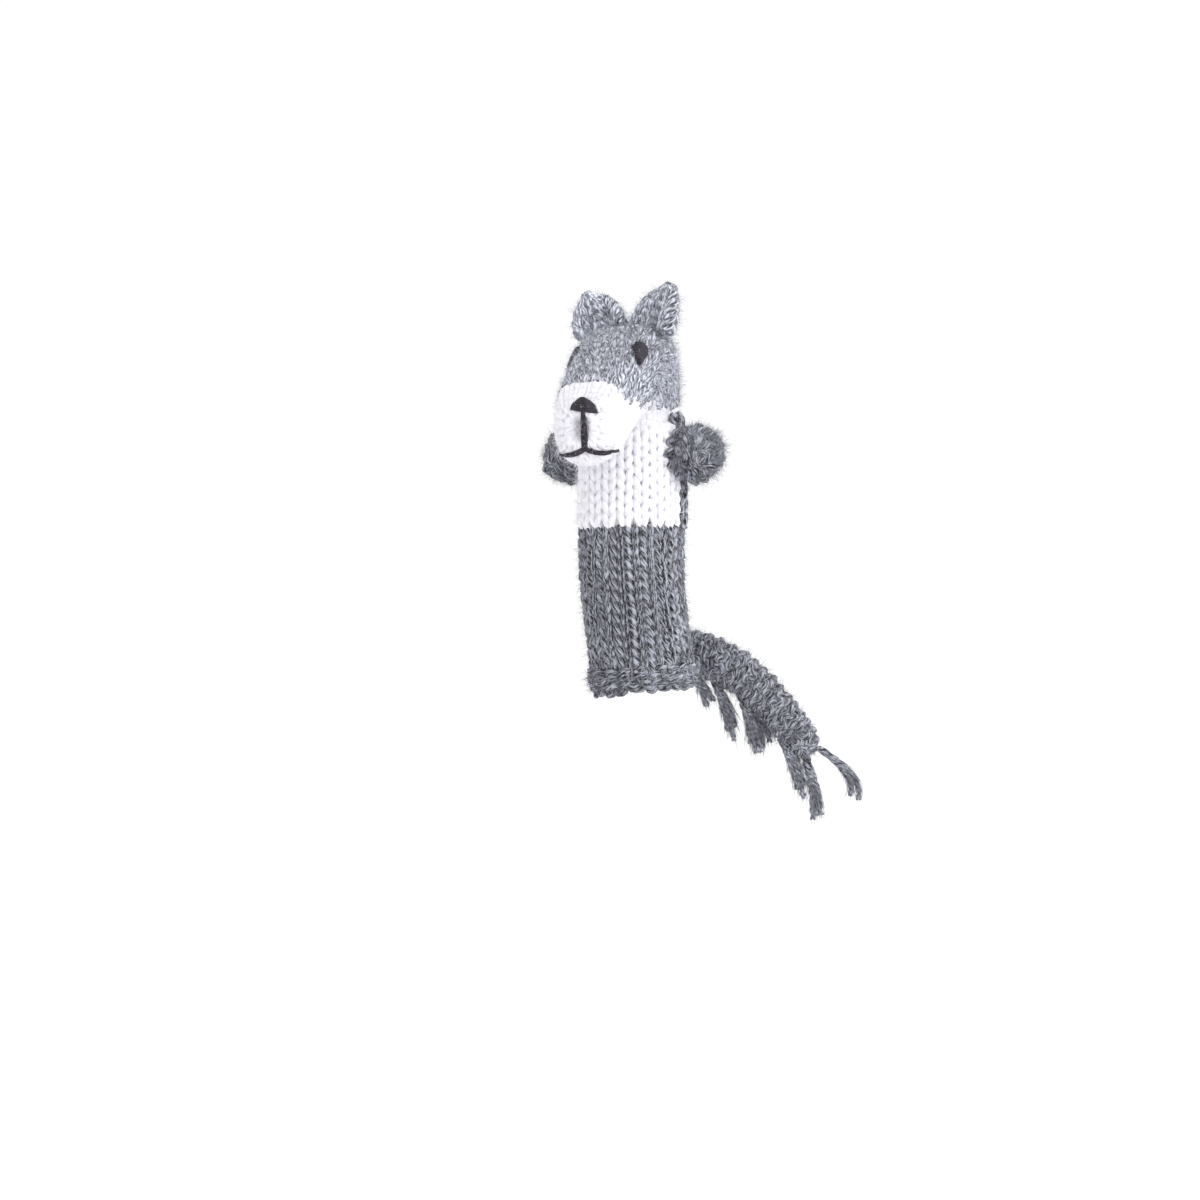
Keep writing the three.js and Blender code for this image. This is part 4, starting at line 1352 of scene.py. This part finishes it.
def knotted_ball(node, body, seed):
    """Yarn wound round on itself: five turns that cross over a ball."""
    low, high = box(node)
    centre = (low + high) / 2
    radius = (high.x - low.x) / 2 - 0.7 * MM
    turns, steps = 5, 40

    def winding(angle, k):
        roll = math.pi * k / turns
        tilt = 0.35 * math.sin(2 * angle + k)
        flat = Vector((math.cos(angle), math.sin(angle) * math.cos(tilt), math.sin(tilt)))
        turned = Vector((flat.x * math.cos(roll) - flat.z * math.sin(roll), flat.y,
                         flat.x * math.sin(roll) + flat.z * math.cos(roll)))
        return centre + turned * radius * (1 + 0.06 * math.sin(3 * angle + k))

    def surface(u, v):
        polar = math.pi * (0.04 + 0.92 * v)
        return centre + round_tube(math.sin(polar), TURN * u, -math.cos(polar)) * radius
    knot = yarn(f"{node}_yarn",
                [[winding(TURN * i / steps, k) for i in range(steps)] for k in range(turns)],
                "marled_wool_charcoal", thickness=2.1 * MM)
    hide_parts(node)
    back = lining(f"{node}_lining", surface, "wool_down_charcoal", around=16, along=8,
                  depth=-0.1)
    fuzz = down(f"{node}_down", surface, "wool_down_charcoal", around=16, along=8, seed=seed,
                density=1.5)
    carry((knot, back, fuzz), "charcoal_yarn", body)


# ---- fringe -----------------------------------------------------------------------------


class PUPPET_OT_fringe(bpy.types.Operator):
    """Tie the fringe under the tail and leave the loose ends below its knot"""

    bl_idname = "puppet.fringe"
    bl_label = "Fringe and tassel"

    def execute(self, context):
        counts = {"fringe_1": 2, "fringe_2": 3, "fringe_3": 3, "fringe_4": 2, "fringe_5": 3,
                  "fringe_6": 2, "tassel_long": 3, "tassel_curl": 2}
        for seed, (node, strands) in enumerate(counts.items()):
            tie_tuft(node, strands, seed)
        return {"FINISHED"}


def tie_tuft(node, strands, seed):
    """Strands of unravelling yarn hung in the space of a CAD tuft: a core of two thin plies
    each, and many single fibres that stray towards the cut end."""
    low, high = box(node)
    start = Vector((low.x + 1.0 * MM, low.y + 0.7 * MM, high.z + 1.2 * MM))
    end = Vector((high.x - 0.6 * MM, high.y - 0.5 * MM, low.z))
    if node == "fringe_1":
        end += Vector((1.8, 1.0, -0.6)) * MM  # the longest end strays out past the hem
    bow = 0.22 if node == "tassel_curl" else 0.05
    span = end - start
    side = Vector((span.x, span.y, 0)).normalized()
    ahead = Vector((-side.y, side.x, 0))
    ply_pitch = 4.5 * MM

    def middle(f, spread):
        arch = math.sin(math.pi * min(f, 1.0)) * bow
        return (start + span * f + side * arch * span.length
                + side * spread * (0.5 + 1.6 * f) * MM * 1.1)

    def ply(f, k, length, spread, half_turn):
        f *= length
        turn = TURN * (f * span.length / ply_pitch) + half_turn + seed + k
        loosen = (0.34 + 0.5 * max(0.0, f - 0.55)) * MM
        return middle(f, spread) + (side * math.cos(turn) + ahead * math.sin(turn)) * loosen

    def fibre(along, n, length, spread, wave):
        begin = 0.12 + 0.5 * ((n * 7) % 13) / 13
        reach = min(1.12, begin + 0.5)
        f = (begin + (reach - begin) * along) * length
        stray = (0.8 + 2.4 * along ** 1.5) * MM
        return middle(f, spread) + wave * stray + side * 0.3 * MM * math.sin(4 * f + n)
    paths, fibres = [], []
    for k in range(strands):
        spread = (k - (strands - 1) / 2) / (strands - 1)
        length = 1.0 - 0.16 * abs(spread) - 0.07 * ((k * 5 + seed) % 3)
        for half_turn in (0.0, math.pi):
            paths.append(trace(14, ply, k, length, spread, half_turn))
        for n in range(100):
            wave = noise.noise_vector(Vector((seed * 9.1 + k, n * 1.7, 0.5)))
            fibres.append(trace(5, fibre, n, length, spread, wave))
    tuft = yarn(f"{node}_strands", paths, "marled_wool_charcoal", thickness=1.15 * MM,
                closed=False, girth=lambda f: 1.0 - 0.45 * max(0.0, f - 0.5) / 0.5)
    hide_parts(node)
    loose = yarn(f"{node}_fibres", fibres, "wool_down_charcoal", thickness=0.13 * MM,
                 closed=False, sides=3, girth=lambda f: 1 - 0.7 * f)
    carry((tuft, loose), "charcoal_yarn", node)


# ---- add-on -----------------------------------------------------------------------------


class PUPPET_PT_panel(bpy.types.Panel):
    """Buttons and sizes of the finger puppet"""

    bl_label = "Finger Puppet"
    bl_space_type = "VIEW_3D"
    bl_region_type = "UI"
    bl_category = "Puppet"

    def draw(self, context):
        layout = self.layout
        for operator in OPERATORS:
            layout.operator(operator.bl_idname)
        for group in (context.scene.puppet_yarn, context.scene.puppet_gauge,
                      context.scene.puppet_colours):
            column = layout.column()
            for name in group.__annotations__:
                column.prop(group, name)


OPERATORS = (
    PUPPET_OT_stage, PUPPET_OT_lower_tube, PUPPET_OT_upper_tube, PUPPET_OT_head, PUPPET_OT_face,
    PUPPET_OT_ears, PUPPET_OT_paws, PUPPET_OT_tail, PUPPET_OT_fringe,
)
CLASSES = (PuppetYarn, PuppetGauge, PuppetColours, *OPERATORS, PUPPET_PT_panel)


def register():
    for cls in CLASSES:
        bpy.utils.register_class(cls)
    bpy.types.Scene.puppet_yarn = PointerProperty(type=PuppetYarn)
    bpy.types.Scene.puppet_gauge = PointerProperty(type=PuppetGauge)
    bpy.types.Scene.puppet_colours = PointerProperty(type=PuppetColours)


def unregister():
    del bpy.types.Scene.puppet_yarn
    del bpy.types.Scene.puppet_gauge
    del bpy.types.Scene.puppet_colours
    for cls in reversed(CLASSES):
        bpy.utils.unregister_class(cls)


def main():
    """Builds every piece."""
    register()
    bpy.ops.puppet.stage()
    bpy.ops.puppet.lower_tube()
    bpy.ops.puppet.upper_tube()
    bpy.ops.puppet.head()
    bpy.ops.puppet.face()
    bpy.ops.puppet.ears()
    bpy.ops.puppet.paws()
    bpy.ops.puppet.tail()
    bpy.ops.puppet.fringe()


if __name__ == "__main__":
    main()
